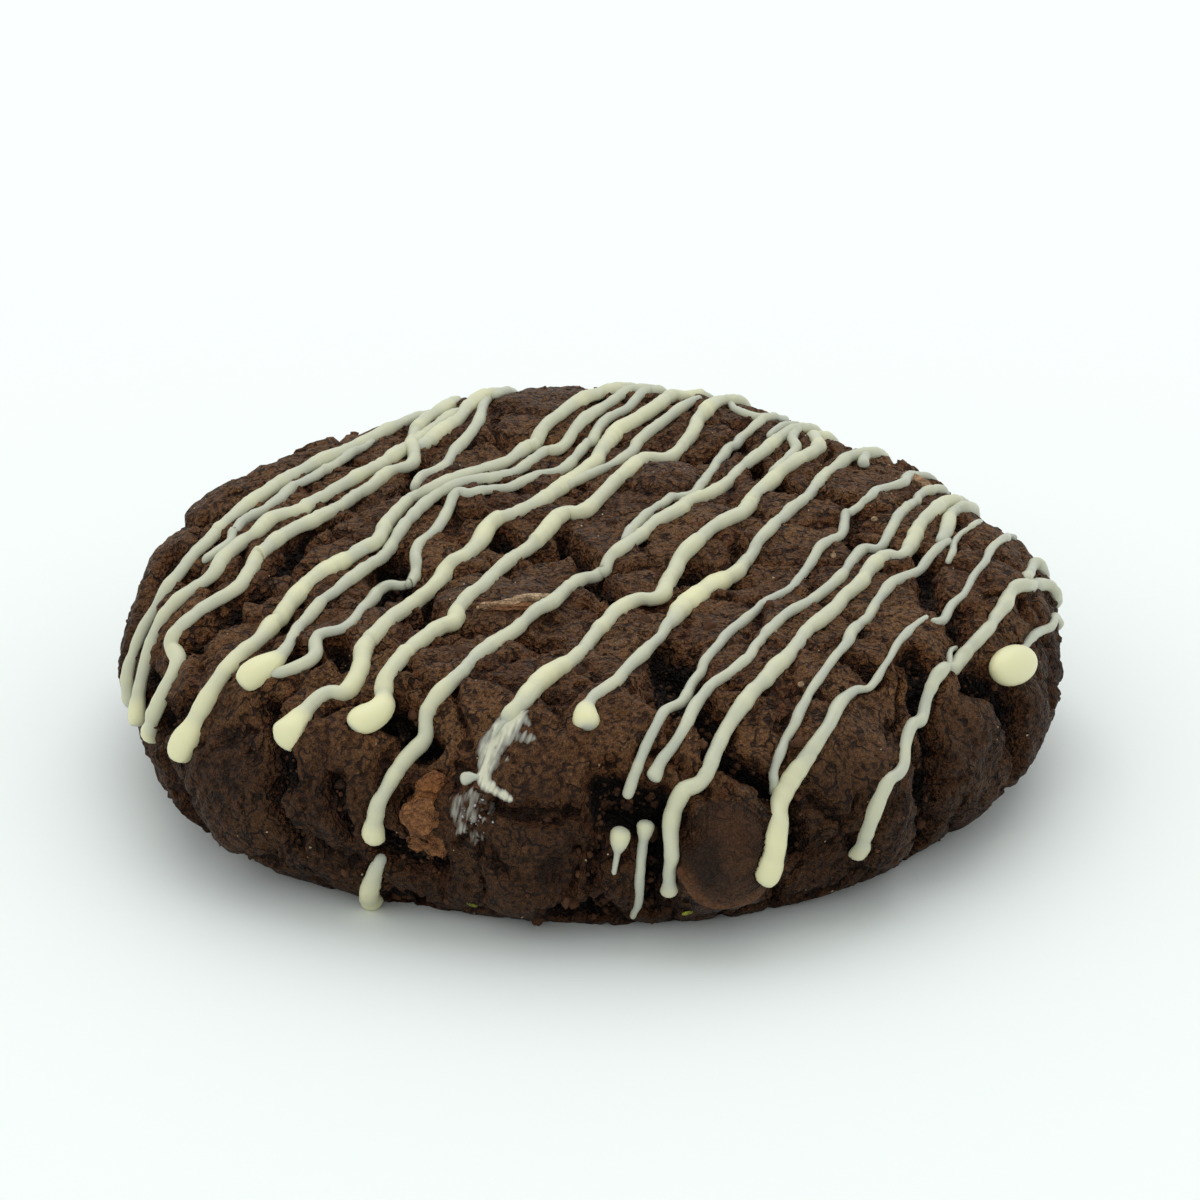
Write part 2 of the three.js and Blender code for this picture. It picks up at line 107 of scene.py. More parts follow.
dough = {
    "swells": (  # broad swells and hollows: x, y, radius, height
        (-16, 8, 7, 1.9), (-4, 19, 7, -1.5), (9, 23, 5, -1.3), (-7, 2, 6, 0.9), (-18, -14, 4, -1.9),
        (-31, -21, 5, -1.7), (-23, -34, 4, -1.7), (-43, -32, 6, 1.9), (-32, -31, 4, 1.2),
        (-29, -39, 4, 1.2), (-35, -13, 4, -0.9), (-31, 1, 4, 1.0), (-24, 9, 4, -1.4), (7, -16, 3.5, -1.0),
        (15, -10, 3.5, -1.0), (21, -14, 4, -0.8), (12, 1, 6, 1.0), (29, 7, 5, 1.0), (34, 12, 4, -0.9),
        (31, -5, 3, -0.9), (11, -47, 5, 1.2), (38, -25, 3.5, -1.1), (35, -29, 3.5, 1.4),
        (31, -43, 4.5, 1.4), (45, -8, 5, 0.9), (-17, -43, 4, -1.2), (28, -34, 3, -1.0),
        (-42, -23, 3.5, -1.0), (-13, -24, 3.5, -0.8), (14, 12, 4, -0.9), (0, -48, 7, 1.2),
        (-8, -58, 8, 1.0), (-42, -46, 7, 1.4),
    ),
    "lumps": (  # smooth rounded lumps: x, y, radius, height, sheen
        (15.3, -55, 7.4, 2.8, 0.9), (25.5, -42, 5.6, 1.4, 0.4), (36, -47.5, 4.6, 2.0, 0.6),
        (-28, -45, 6.5, 1.6, 0.2), (-40, -41, 6.5, 1.3, 0.2), (-35, -50, 4, 1.0, 0.2),
        (-45.5, 1.5, 4.2, 1.2, 0.4), (-41, 13.5, 4.2, 1.3, 0.4), (-5, 38, 6, 1.0, 0.5),
        (52, -24, 7, 1.2, 0.1), (-9, -19, 6, 0.8, 0.4), (8, 15, 4.5, 0.8, 0.4), (-6, -50, 7.5, 0.8, 0.1),
        (-8, -63, 6, 0.9, 0.1), (43, -33, 5.5, 1.2, 0.1), (-33, -58, 5, 1.0, 0.1),
    ),
    "cracks": (  # deep cracks and pits: width, depth, route
        (2.4, 3.0, (-18.5, 19), (-19, 14), (-20.5, 9)), (2.2, 2.2, (-20.5, 9), (-25, 5), (-29, -1)),
        (2.4, 2.8, (-29, -1), (-31, -5), (-31, -10)), (3.2, 3.4, (-33, -14), (-36, -17)),
        (2.4, 2.6, (-36, -18), (-39, -20.5), (-42, -22)), (4.2, 4.0, (-20, -7), (-19.5, -13)),
        (2.4, 2.4, (-19.5, -13), (-22, -16)), (1.8, 2.2, (-16.5, -13), (-16, -18), (-16.2, -24)),
        (2.8, 3.0, (-10, -2.5), (-6.5, -6), (-4, -7)), (1.8, 3.0, (-2.6, -1.5), (-2.4, -6)),
        (2.2, 2.4, (-2, -5), (0, -10), (1.5, -14)), (3.2, 3.4, (0.5, -14.5), (2.5, -17.5)),
        (5.0, 4.2, (10, -11), (13.5, -12.5)), (1.6, 2.0, (15, -3), (15.3, -9)),
        (2.2, 3.0, (21, 14.5), (22, 10.5)), (2.0, 2.4, (23, 10), (26, 7.5), (28, 6)),
        (2.2, 2.6, (27, -1.5), (29.5, -4)), (2.4, 2.4, (7, 19), (12, 22), (17, 26)),
        (1.8, 2.4, (18.8, 19.5), (19.5, 15.5)), (3.2, 3.0, (-28.5, -28), (-27.5, -30)),
        (2.6, 3.2, (-24.5, -27), (-24, -30)), (3.4, 3.4, (-20, -39), (-18.5, -42), (-17, -44)),
        (2.2, 1.8, (-12, -25), (-9, -27)), (2.6, 3.0, (-6.5, -28), (-4, -29.5)),
        (5.4, 4.4, (8, -30), (8.5, -35), (7.5, -39)), (2.6, 3.2, (10.5, -40), (12.5, -44)),
        (2.6, 3.4, (12, -45.5), (16, -47), (19, -48.5)), (3.0, 3.2, (19, -48.5), (22, -51), (24, -53)),
        (6.2, 4.2, (2.5, -51.5), (7.5, -52.5)), (2.8, 2.6, (8, -54), (8.5, -64)),
        (2.4, 1.6, (1.2, -55), (0.8, -60), (1.5, -64)), (1.4, 1.4, (-10, -51.5), (-5, -52.5), (0, -52)),
        (3.4, 3.2, (-24, -53), (-21, -56)), (2.6, 3.0, (-31, -35), (-31, -42)),
        (2.2, 2.4, (-31, -42), (-34, -44), (-33.5, -48)), (2.0, 2.2, (-26, -45), (-27, -50)),
        (2.8, 3.2, (32.5, -28), (33.5, -31)), (2.6, 3.0, (33, -31), (34, -34), (37, -37)),
        (2.0, 2.0, (25, -30.5), (28.5, -32)), (2.4, 2.6, (33.5, -4), (34.5, -11), (35, -18)),
        (2.6, 3.2, (37, -17), (37.5, -21)), (3.4, 3.6, (39, -26.5), (43, -25), (48, -26), (51, -28)),
        (5.0, 4.2, (37.5, -41), (40, -44), (46, -45)), (2.4, 2.4, (40, 7), (38.5, 3)),
        (2.0, 2.2, (45, -10), (46, -12)), (2.4, 2.6, (-41.5, -7.5), (-41.5, -10.5)),
        (3.0, 2.6, (-44, -2), (-48, -12), (-50, -22)), (3.0, 3.2, (-52, 10), (-45, 8), (-38, 5)),
        (2.6, 2.6, (-47, -21), (-45, -25)), (3.0, 3.0, (-45, -28), (-42, -30)),
        (2.6, 2.2, (-20, -50), (-18, -54), (-19, -58)), (2.4, 2.2, (30, 30), (38, 36), (46, 38)),
        (2.4, 2.2, (-10, 44), (-14, 52), (-12, 60)), (2.6, 2.4, (-36, 34), (-44, 40)),
        (2.4, 2.2, (8, 46), (12, 54)), (2.4, 2.4, (52, 8), (60, 6)),
        (5.0, 3.0, (-4.5, -65.5), (-1, -64.5), (2, -65)), (3.6, 2.4, (22, -62), (26, -60)),
        (4.0, 2.4, (-30, -60), (-25, -62.5)), (3.6, 2.4, (-48, -44), (-45, -48)),
    ),
    "plate": {"across": 9.5, "stray": 0.8, "crackWidth": 1.7, "crackDepth": 1.0, "step": 1.1},
    "wander": {"across": 5.5, "reach": 1.5},      # how the edges of the plates stray sideways
    "fray": {"across": 1.9, "reach": 0.6},        # finer straying of the crack edges
    "grit": {"across": 3.5, "height": 0.25},
    "crackWall": (0.22, 0.7),                     # where a crack's wall begins and ends, over its width
    "deepCrack": 3.0,                             # depth that counts as a full crack in the colours
    "plateGap": 0.4,                              # how much the gaps between plates count as cracks
    "lumpEdge": (0.5, 0.25),                      # how soon a lump is bare of plates, and smooth
    "smoothness": 0.75,                           # how much roughness the smoothest lump loses
    "skin": {"across": 4.2, "height": 0.28},      # unevenness of the plates
    "clusters": {"across": 3.4, "height": 0.28, "least": 0.4},   # grains stuck together
    "nubs": {"across": 1.3, "height": 0.6, "least": 0.55, "inCracks": 0.6},   # rounded grains all over
    "crumbs": {"across": 1.7, "height": 1.0},     # coarser grains that stand in the cracks
    "grainStray": {"across": 1.3, "reach": 0.45},
    "clusterStray": {"across": 3.0, "reach": 0.7},
    "patches": {"across": 9.0, "between": (-0.7, 0.6)},   # where the grains show more or less
    "looseAt": (0.06, 0.5),                       # how cracked the crust is where crumbs stand in it
    "gridSteps": 304,                             # grid squares across the crust
    "finer": 0.86,                                # size of the squares at the top over their mean size
    "hollowReach": ((1.6, 0.65), (5.0, 0.35)),    # reach in grid squares, and share of a hollow's depth
    "footRings": (42, 38, 29, 16),                # rings of the underside
}
dome = {"stray": 0.95, "radius": 0.68, "least": 0.45}   # a rounded grain, over the space it stands in


def strayBy(x, y, size, kind, layers=1):  # how far noise moves a place: reach * noise, for x and for y
    u, v = x / size["across"], y / size["across"]
    return size["reach"] * layered(u, v, kind, layers), size["reach"] * layered(u, v, kind + 1, layers)


def crags(x, y):
    # broad form of the crust, as in the solid: swells + lumps + plates - cracks + grit, returned with
    # masks for the lumps' smoothness and for cracks, and the deep cracks' own depth
    frayX, frayY = strayBy(x, y, dough["fray"], 21, 2)
    wanderX, wanderY = strayBy(x, y, dough["wander"], 4)
    nx, ny = x + frayX, y + frayY
    height = np.zeros(x.shape)
    for sx, sy, radius, rise in dough["swells"]:
        height += rise * np.exp(-((x - sx) ** 2 + (y - sy) ** 2) / radius ** 2)
    raised, bare, sheen = np.zeros(x.shape), np.ones(x.shape), np.zeros(x.shape)
    bareBy, smoothBy = dough["lumpEdge"]
    for lx, ly, radius, rise, shine in dough["lumps"]:
        inside = np.maximum(0, 1 - ((nx - lx) ** 2 + (ny - ly) ** 2) / radius ** 2)
        raised = np.maximum(raised, rise * np.sqrt(inside))
        bare = np.minimum(bare, 1 - fadeIn(0, bareBy, inside))
        sheen = np.maximum(sheen, shine * fadeIn(0, smoothBy, inside))
    cut = np.zeros(x.shape)
    wallFrom, wallTo = dough["crackWall"]
    for width, depth, *route in dough["cracks"]:
        for a, b in zip(route, route[1:]):
            away = toLine(nx, ny, a, b)
            cut = np.maximum(cut, depth * (1 - fadeIn(wallFrom * width, wallTo * width, away)))
    plate, grit = dough["plate"], dough["grit"]
    nearest, second, mark = cells(nx + wanderX, ny + wanderY, plate["across"], plate["stray"], 1)
    level = fadeIn(0, plate["crackWidth"], second - nearest)
    plates = plate["step"] * (mark - 0.5) * level - plate["crackDepth"] * (1 - level)
    height += raised + plates * bare - cut
    height += grit["height"] * rolling(x / grit["across"], y / grit["across"], 6)
    return height, sheen, np.maximum(cut / dough["deepCrack"], dough["plateGap"] * (1 - level) * bare), cut


def domes(x, y, across, kind):
    # rounded grains: half a ball over each cell's middle, each of its own height, from 0 to 1
    nearest, mark = cells(x, y, across, dome["stray"], kind)[::2]
    inside = np.clip(1 - (nearest / (dome["radius"] * across)) ** 2, 0, 1)
    return np.sqrt(inside) * (dome["least"] + (1 - dome["least"]) * mark)


def crust(x, y):
    # the finished dough: crags + uneven skin + clusters of grains + rounded grains, coarser in the cracks
    height, sheen, depth = crags(x, y)[:3]
    rough = 1 - dough["smoothness"] * sheen
    skin, clusters, nubs, crumbs = dough["skin"], dough["clusters"], dough["nubs"], dough["crumbs"]
    height += skin["height"] * rough * layered(x / skin["across"], y / skin["across"], 31, 3)
    grainX, grainY = strayBy(x, y, dough["grainStray"], 41, 2)
    sx, sy = x + grainX, y + grainY
    clusterX, clusterY = strayBy(x, y, dough["clusterStray"], 43)
    patch = dough["patches"]
    even = fadeIn(*patch["between"], layered(x / patch["across"], y / patch["across"], 35, 2))
    loose = fadeIn(*dough["looseAt"], depth)
    wide = domes(sx + clusterX, sy + clusterY, clusters["across"], 61)
    height += clusters["height"] * rough * (clusters["least"] + (1 - clusters["least"]) * even) * (wide - 0.5)
    shown = nubs["least"] + (1 - nubs["least"]) * even + nubs["inCracks"] * loose
    height += nubs["height"] * rough * shown * (domes(sx, sy, nubs["across"], 51) - 0.5)
    height += crumbs["height"] * loose * (domes(sx, sy, crumbs["across"], 81) - 0.4)
    return height, sheen, np.clip(depth, 0, 1.2)


def onRound(x, y, lift):
    # the plain round: flat top, then a shoulder that turns out, down and under; lift stands squarely off it
    q, bearing = np.hypot(x, y), np.arctan2(y, x)
    out, down = roundForm["shoulderOut"], roundForm["shoulderDown"]
    turn = np.maximum(0, (q - flatTop) / out)
    plain = np.where(turn > 0, flatTop + out * np.sin(turn), q)
    level = roundForm["thickness"] - down * (1 - np.cos(turn))
    half = roundForm["halfWidth"]
    sag = roundForm["rimDrop"] * (np.minimum(plain, half) / half) ** 2
    sag = sag * np.maximum(0, level / roundForm["thickness"])
    outline = 1 + sum(s * np.cos(n * (bearing - math.radians(a))) for n, s, a in roundForm["lobes"])
    reach = plain * outline + lift * np.sin(turn)
    up = level - sag + lift * np.cos(turn) * (1 - fadeIn(*roundForm["footFade"], turn))
    mx, my = roundForm["middle"]
    place = (reach * np.cos(bearing) - mx, reach * np.sin(bearing) - my, np.maximum(up, 0))
    return np.stack(place, -1) * mm


def squaredOff(p):  # which way is out at each place: finite differences of the plain round
    x, y = p[..., 0], p[..., 1]
    step = 0.05
    right = onRound(x + step, y, 0 * x) - onRound(x - step, y, 0 * x)
    back = onRound(x, y + step, 0 * x) - onRound(x, y - step, 0 * x)
    out = np.cross(right, back)
    return out / np.linalg.norm(out, axis=-1, keepdims=True)


def newMesh(name, points, faces, marks=None, smooth=True):
    # faces are rows of corner numbers, all of one length or a list of such arrays
    groups = faces if isinstance(faces, list) else [faces]
    mesh = bpy.data.meshes.new(name)
    corners = np.concatenate([g.ravel() for g in groups]).astype(np.int32)
    sizes = np.concatenate([np.full(len(g), g.shape[1]) for g in groups]).astype(np.int32)
    mesh.vertices.add(len(points))
    mesh.vertices.foreach_set("co", points.astype(np.float32).ravel())
    mesh.loops.add(len(corners))
    mesh.loops.foreach_set("vertex_index", corners)
    mesh.polygons.add(len(sizes))
    mesh.polygons.foreach_set("loop_start", np.concatenate(([0], np.cumsum(sizes)[:-1])).astype(np.int32))
    mesh.update(calc_edges=True)
    mesh.validate()
    if smooth:
        mesh.polygons.foreach_set("use_smooth", np.ones(len(mesh.polygons), bool))
    for mark, values in (marks or {}).items():
        layer = mesh.attributes.new(mark, "FLOAT", "POINT")
        layer.data.foreach_set("value", values.astype(np.float32).ravel())
    piece = bpy.data.objects.new(name, mesh)
    bpy.context.scene.collection.objects.link(piece)
    return piece


def finishPiece(piece, material):  # a piece of the cookie: its finish, body and material slot
    piece.data.materials.append(material)
    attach(piece, "root")
    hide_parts(node)
    print(piece.name, len(piece.data.polygons), "faces")
    return piece


# Routes of the drizzle are as read looking down at 24 degrees, as if the crust lay flat, mostly from back
# to front
drizzle = {
    "lines": (  # full width, radius of the drop at the end or 0, and the route
        (1.7, 0, (-16, 42), (-23.5, 29), (-30.5, 19), (-33, 15), (-38, 4.5), (-41, -2.5), (-44, -7.5),
         (-50, -11.5), (-56, -15)),
        (1.3, 0, (-24, 27), (-30, 15.6), (-32, 12.4), (-34.5, 6), (-37, 1), (-37.5, -3), (-40, -6)),
        (1.8, 1.2, (-14, 36), (-20.6, 23.4), (-26.6, 14), (-30, 8), (-30.6, 5.6), (-33.4, 3.6), (-35, -1),
         (-37.5, -6), (-39, -10), (-45, -14), (-53, -21.5)),
        (1.8, 1.1, (-14, 42), (-19.3, 30), (-19.5, 20), (-22, 16.8), (-23.8, 12), (-25.5, 9.8),
         (-28.5, 3.6), (-31, 0.4), (-33.5, -5), (-35.4, -14), (-40, -16.5), (-42.5, -19), (-42.3, -22.8),
         (-46, -25.6), (-51, -25)),
        (1.9, 0, (-8, 49), (-12.4, 38.4), (-14.8, 32.4), (-19, 24)),
        (1.4, 0, (-6, 50), (-11, 38), (-12.8, 28), (-15.2, 22.4), (-16.4, 16.6), (-18, 14.5), (-18.8, 11)),
        (1.7, 0, (7, 47), (-2, 34.4), (-6.4, 24), (-8.8, 19.6), (-12, 16.4), (-15.2, 13.2), (-19, 9),
         (-21.3, 2), (-22, -3.2), (-24.5, -6.6)),
        (2.2, 1.7, (-22.6, -4), (-24.6, -6.8), (-28, -13.2), (-31.8, -23.2), (-34.6, -26.4), (-39.6, -30.8),
         (-43.5, -33)),
        (1.5, 1.75, (10, 48), (1.6, 34.4), (-2.8, 26), (-7.6, 16.8), (-10.4, 14.4), (-14.4, 11.6),
         (-18.6, 3.6), (-20.3, -4), (-22, -8.5), (-24.4, -13.2), (-28, -22.8), (-30, -28.5), (-34, -30.6)),
        (1.4, 0, (9, 46), (4.8, 36), (1.6, 30), (-1.2, 20), (-3.2, 16), (-5.2, 15.4), (-8.4, 11.6),
         (-10.6, 10.6), (-13.2, 7.6), (-14.8, 2.4), (-17, -3.5), (-17.6, -10), (-18.5, -14), (-20.4, -14.6),
         (-22, -18.8), (-24, -24), (-26.4, -26), (-27.2, -30), (-31, -31)),
        (2.0, 1.6, (14, 47), (8, 36.8), (2.8, 26.5), (0, 16.8), (-4.4, 9.2), (-8.8, 2.8), (-12, -5.2),
         (-15.2, -13.6), (-17.2, -18.5), (-20.4, -24), (-22, -29.2), (-22.4, -33.6), (-24, -36),
         (-26, -35.4), (-30.5, -39.4)),
        (1.4, 0, (12, 38), (7.5, 30), (5.5, 25), (3.5, 19), (1, 15.6), (-1.5, 12.5), (-4.6, 8.8)),
        (1.9, 1.7, (19, 48), (14, 38.4), (12, 32), (10.4, 25.6), (8.4, 20), (5.8, 19.4), (4, 16),
         (0.4, 6.4), (-1.2, 4.2), (-2.6, 4.2), (-4, 0), (-6, -5.2), (-8.4, -9.2), (-12.2, -18),
         (-13.4, -23.8), (-15.2, -25.4), (-19.6, -34.8), (-20.6, -38.6), (-23.4, -40.4)),
        (1.3, 0, (22, 38), (17.2, 28), (15, 22.5), (12.4, 13.2), (9.7, 10.5), (8.2, 7), (5, 1.2),
         (3.6, -3.4)),
        (1.7, 1.1, (28, 39), (21.2, 26.5), (18.6, 21), (17, 18), (14, 11.2), (11.6, 8.8), (9.6, 5.2),
         (6.8, 1.6), (5, -2.4), (2, -8), (0.8, -12.4), (-1, -13.6), (-4.6, -20.6), (-7.2, -26),
         (-10, -30.2), (-12.8, -35.6), (-16, -40.4), (-16.6, -43.4), (-19.2, -45.2), (-22, -48),
         (-25, -52.4)),
        (2.1, 1.2, (-25, -54.5), (-29, -57), (-33, -60)),
        (1.4, 0, (28, 42), (23.2, 30), (23.4, 24.6), (21.6, 19), (20.6, 15.4)),
        (1.9, 0, (32, 42), (26, 31), (26, 25.4), (22.8, 19.2), (19.4, 12.8), (18, 8.8), (16.4, 4.8),
         (14, 2), (12, -1.2), (8.8, -10), (7.4, -16.4), (4.8, -18), (3, -21), (-0.8, -31), (-3.6, -35.6),
         (-6.4, -40.4), (-8.4, -42.8)),
        (1.5, 1.3, (37, 33), (30.5, 23.5), (27.2, 18), (24, 10.8), (19.6, 2.4), (17.6, -2.4), (16.4, -7.2),
         (14.8, -11.6), (12.2, -14.8), (9.6, -19), (8.2, -23.2), (4, -34), (2.8, -37.2), (0.6, -39.6),
         (-0.2, -42), (-0.1, -44.2)),
        (1.2, 0, (44, 32), (37, 21.6), (34.6, 14.5), (32.6, 12.6), (30.6, 10.4), (28.4, 5.8), (27, 4),
         (25.6, -1), (23.8, -3.8), (21.3, -13.4), (17.8, -18.8), (15.5, -23.4), (13.2, -27), (10.4, -36),
         (9.2, -40), (6.8, -42.4), (3.8, -51)),
        (1.3, 0.72, (41, 20), (35.8, 10.4), (33, 5.6), (31.4, 1.2), (29.6, -4), (28, -5), (24.9, -13.8),
         (22.3, -18.4), (19, -22.6), (14.8, -33.2), (11.6, -38), (6.2, -49)),
        (1.8, 0.8, (43, 18), (36.8, 6.8), (34.6, 2), (32, -6), (30, -6.6), (26.8, -15), (25.2, -19),
         (22.2, -24.2), (18.9, -32), (14.8, -38.8), (12.4, -44.4), (11, -48.2), (9.2, -49.6), (8.7, -54),
         (9.8, -60.6)),
        (1.2, 0, (37, -1.5), (35, -5.4), (33.4, -10), (30.5, -14.6), (27.2, -23.6), (25.1, -29),
         (22.4, -34.2), (20, -40), (18.4, -45), (19.2, -48.4)),
        (0.9, 0, (34.2, -20.4), (31.6, -24.8), (28.2, -33.4), (26.2, -34.6)),
        (1.5, 0, (27.4, -34.2), (26, -34.8), (23.6, -38.4), (20.4, -46), (19.4, -50)),
        (2.3, 1.3, (21.8, -42.5), (20.3, -46.5), (19.4, -51), (19.3, -56.2)),
        (1.0, 0, (50, 17), (44, 5), (41.4, -1.2), (39.8, -7.2), (38.4, -13.2), (36.9, -17), (35.7, -20.6),
         (34.4, -21.2)),
        (1.7, 0, (45, 18), (40.5, 11), (38.5, 6), (37, 1), (36, -2.6)),
        (0.9, 0, (42, 8), (39.6, 2.4), (37.6, -3), (36.6, -8)),
        (1.6, 1.0, (58, 15), (50.6, 2.8), (45, -6), (43.3, -9.6), (40.5, -19), (39.4, -22.4), (38, -26.4),
         (35.4, -28), (34.4, -31.6), (34.2, -34.8), (32.8, -36.4), (31.8, -41), (29.8, -43), (29.8, -46),
         (31, -49), (33, -51.4)),
        (1.4, 0, (51, 10), (48.2, 5.2), (46.6, 0.5), (45, -4.6)),
        (0.8, 0, (38.2, -23.4), (37, -24.6), (36.8, -27)),
        (1.1, 0, (60, 10), (53, -0.4), (50.6, -4.8), (49.4, -9), (48.2, -12), (46.0, -17.5)),
        (0.9, 1.0, (2.9, -58.6), (3.1, -57), (3.6, -53.6)),
        (1.15, 0.85, (6.4, -65.8), (6.2, -62), (5.9, -58.5), (6.2, -52.8)),
        (1.3, 0, (35, 38), (31.8, 28), (31, 19)),
        (1.2, 0, (15, 40), (16.5, 35), (19.5, 33.5), (22.5, 38)),
        (1.0, 0, (24, 36), (22, 31.5), (20, 27.5)),
    ),
    "swellings": (  # where a line thickens for a way: greatest width, and the route
        (2.2, (0.5, -28.5), (-3.6, -35.6), (-6.4, -40.4), (-9.6, -44.8)),
        (2.7, (17.6, -4.5), (16.4, -7.2), (14.8, -11.6), (12.2, -14.8), (9.6, -19), (8.2, -23.2), (6.6, -27)),
    ),
    "ball": (0.9, 0.68, (-10.8, -48.2), (-11.8, -48.2), (-13.2, -48.4)),   # the small one beside the smear
    "smear": (  # the torn film at the end of one line: width, cover, and the route of each stroke
        (4.4, 0.95, (-6.6, -40.4), (-8, -43.1), (-9.4, -44.8)),
        (3.6, 0.75, (-8.6, -43.4), (-9.8, -46.2), (-10.4, -48)),
        (2.6, 1.0, (-10.4, -47.0), (-10.5, -48.8), (-9.6, -49.8)),
        (1.8, 0.95, (-10.4, -48.8), (-9.3, -50), (-7.6, -50.9)),
        (1.4, 1.0, (-10.6, -48), (-11.6, -48.4), (-12.7, -48.4)),
        (1.6, 0.30, (-8, -43.8), (-6.9, -44.3), (-5.2, -44.9)),
        (1.4, 0.20, (-9.2, -46), (-8.3, -46.6), (-7.9, -47)),
        (1.8, 0.4, (-7.4, -42.0), (-6.4, -42.6), (-5.6, -43.4)),
        (3.0, 0.16, (-13.4, -50), (-13.8, -51.6), (-13.4, -53.4)),
        (3.0, 0.2, (-12.2, -49.4), (-12.2, -51), (-12.6, -52.4)),
        (2.6, 0.14, (-13, -53.6), (-12.2, -54.2), (-11.4, -54)),
        (2.6, 0.14, (-11.2, -50), (-10.8, -51.4), (-10.6, -52.6)),
    ),
    "lookDown": 24,          # degrees
    "lowestSight": 16,       # least angle between the sight and the crust that is reckoned with
    "rise": 0.58,            # height over width
    "sunk": 0.30,            # how much of the width lies below the line's level
    "thinner": 0.91,         # every width over the one read
    "beginsThin": 0.35,      # how much thinner a line begins
    "thinFor": 5.0,          # and for how long
    "beads": 0.07,           # fine beading of its width
    "beadApart": 0.7,
    "uneven": 0.15,          # how much its width varies by itself
    "unevenApart": 2.6,
    "sway": 0.22,            # how much it strays sideways
    "swayApart": 4.5,
    "straightEnd": 3.0,      # length at the end that doesn't stray
    "step": 0.4,             # length of one step along a line
    "sides": 12,
    "flattens": 0.95,        # half width from which it spreads more than it rises
    "feltAt": (-0.35, 0, 0.35),   # where the dough under a line is felt, over its width
    "evenOut": 1.4,          # how far a line evens out the crags under it
    "evenSideways": 0.8,     # how far its route is evened out, in steps
    "crestSunk": 0.25,       # how far a crest may reach into a line, over its width
    "dip": 0.28,             # how far it sinks into a crack, over the crack's depth
    "proud": 0.12,           # how much it lies above the crags' mean level
    "steepThin": 0.22,       # how much a line thins where it runs down a step
    "steepFrom": (0.25, 1.3),     # slopes where the thinning begins and is complete
    "roundStart": 0.5,       # length of the rounded start and end, over the width
    "roundEnd": 0.9,
    "dropTail": 1.9,         # how far a drop runs back into its line, over its radius
    "margin": 0.3,           # how far beside a line the dough is pressed down
}


def evened(values, reach):  # running average with a bell weight, ends held
    n = max(1, int(round(3 * reach)))
    weight = np.exp(-0.5 * (np.arange(-n, n + 1) / max(reach, 0.01)) ** 2)
    return np.convolve(np.pad(values, n, mode="edge"), weight / weight.sum(), mode="valid")


def smoothRoute(route, step):
    # a curve through the points: each stretch is a cubic between neighbours' chords, then spaced evenly
    p = np.array(route, float)
    p = np.vstack([2 * p[0] - p[1], p, 2 * p[-1] - p[-2]])
    t = np.linspace(0, 1, 24, endpoint=False)[:, None]
    parts = []
    for a, b, c, d in zip(p, p[1:], p[2:], p[3:]):
        parts.append(b + 0.5 * t * (c - a + t * (2 * a - 5 * b + 4 * c - d + t * (3 * (b - c) + d - a))))
    fine = np.vstack(parts + [p[-2:-1]])
    run = np.concatenate(([0], np.cumsum(np.hypot(*np.diff(fine, axis=0).T))))
    s = np.linspace(0, run[-1], max(6, int(round(run[-1] / step)) + 1))
    return np.stack([np.interp(s, run, fine[:, 0]), np.interp(s, run, fine[:, 1])], 1), s


def sightShift(p, height):
    # how much further back a place that stands higher was read: height / tan(angle of sight on the crust)
    q = np.hypot(p[:, 0], p[:, 1])
    turn = np.maximum(0, (q - flatTop) / roundForm["shoulderOut"])
    angle = math.radians(drizzle["lookDown"]) - turn * p[:, 1] / np.maximum(q, 1)
    return height / np.tan(np.clip(angle, math.radians(drizzle["lowestSight"]), math.pi / 2))


def sideOf(p):  # the sideways direction at each place of a route
    ahead = np.gradient(p, axis=0)
    ahead /= np.linalg.norm(ahead, axis=1, keepdims=True)
    return np.stack([-ahead[:, 1], ahead[:, 0]], 1)


def levelUnder(p, width):  # the evened top of the dough under a line, with its cracks mostly bridged
    step, side, under = drizzle["step"], sideOf(p), []
    for off in drizzle["feltAt"]:
        height, *masks, cut = crags(*(p + side * off * width).T)
        under.append(height + (1 - drizzle["dip"]) * cut)
    level = evened(np.mean(under, axis=0), drizzle["evenOut"] / step)
    crest = evened(np.max(under, axis=0), 0.5 / step) - drizzle["crestSunk"] * width
    return np.maximum(level, crest) + drizzle["proud"]


def roundedEnd(s, length):  # a quarter of an oval, from 0 at the end to 1 at the length given
    return np.sqrt(np.clip(1 - (1 - np.clip(s / length, 0, 1)) ** 2, 0, 1))


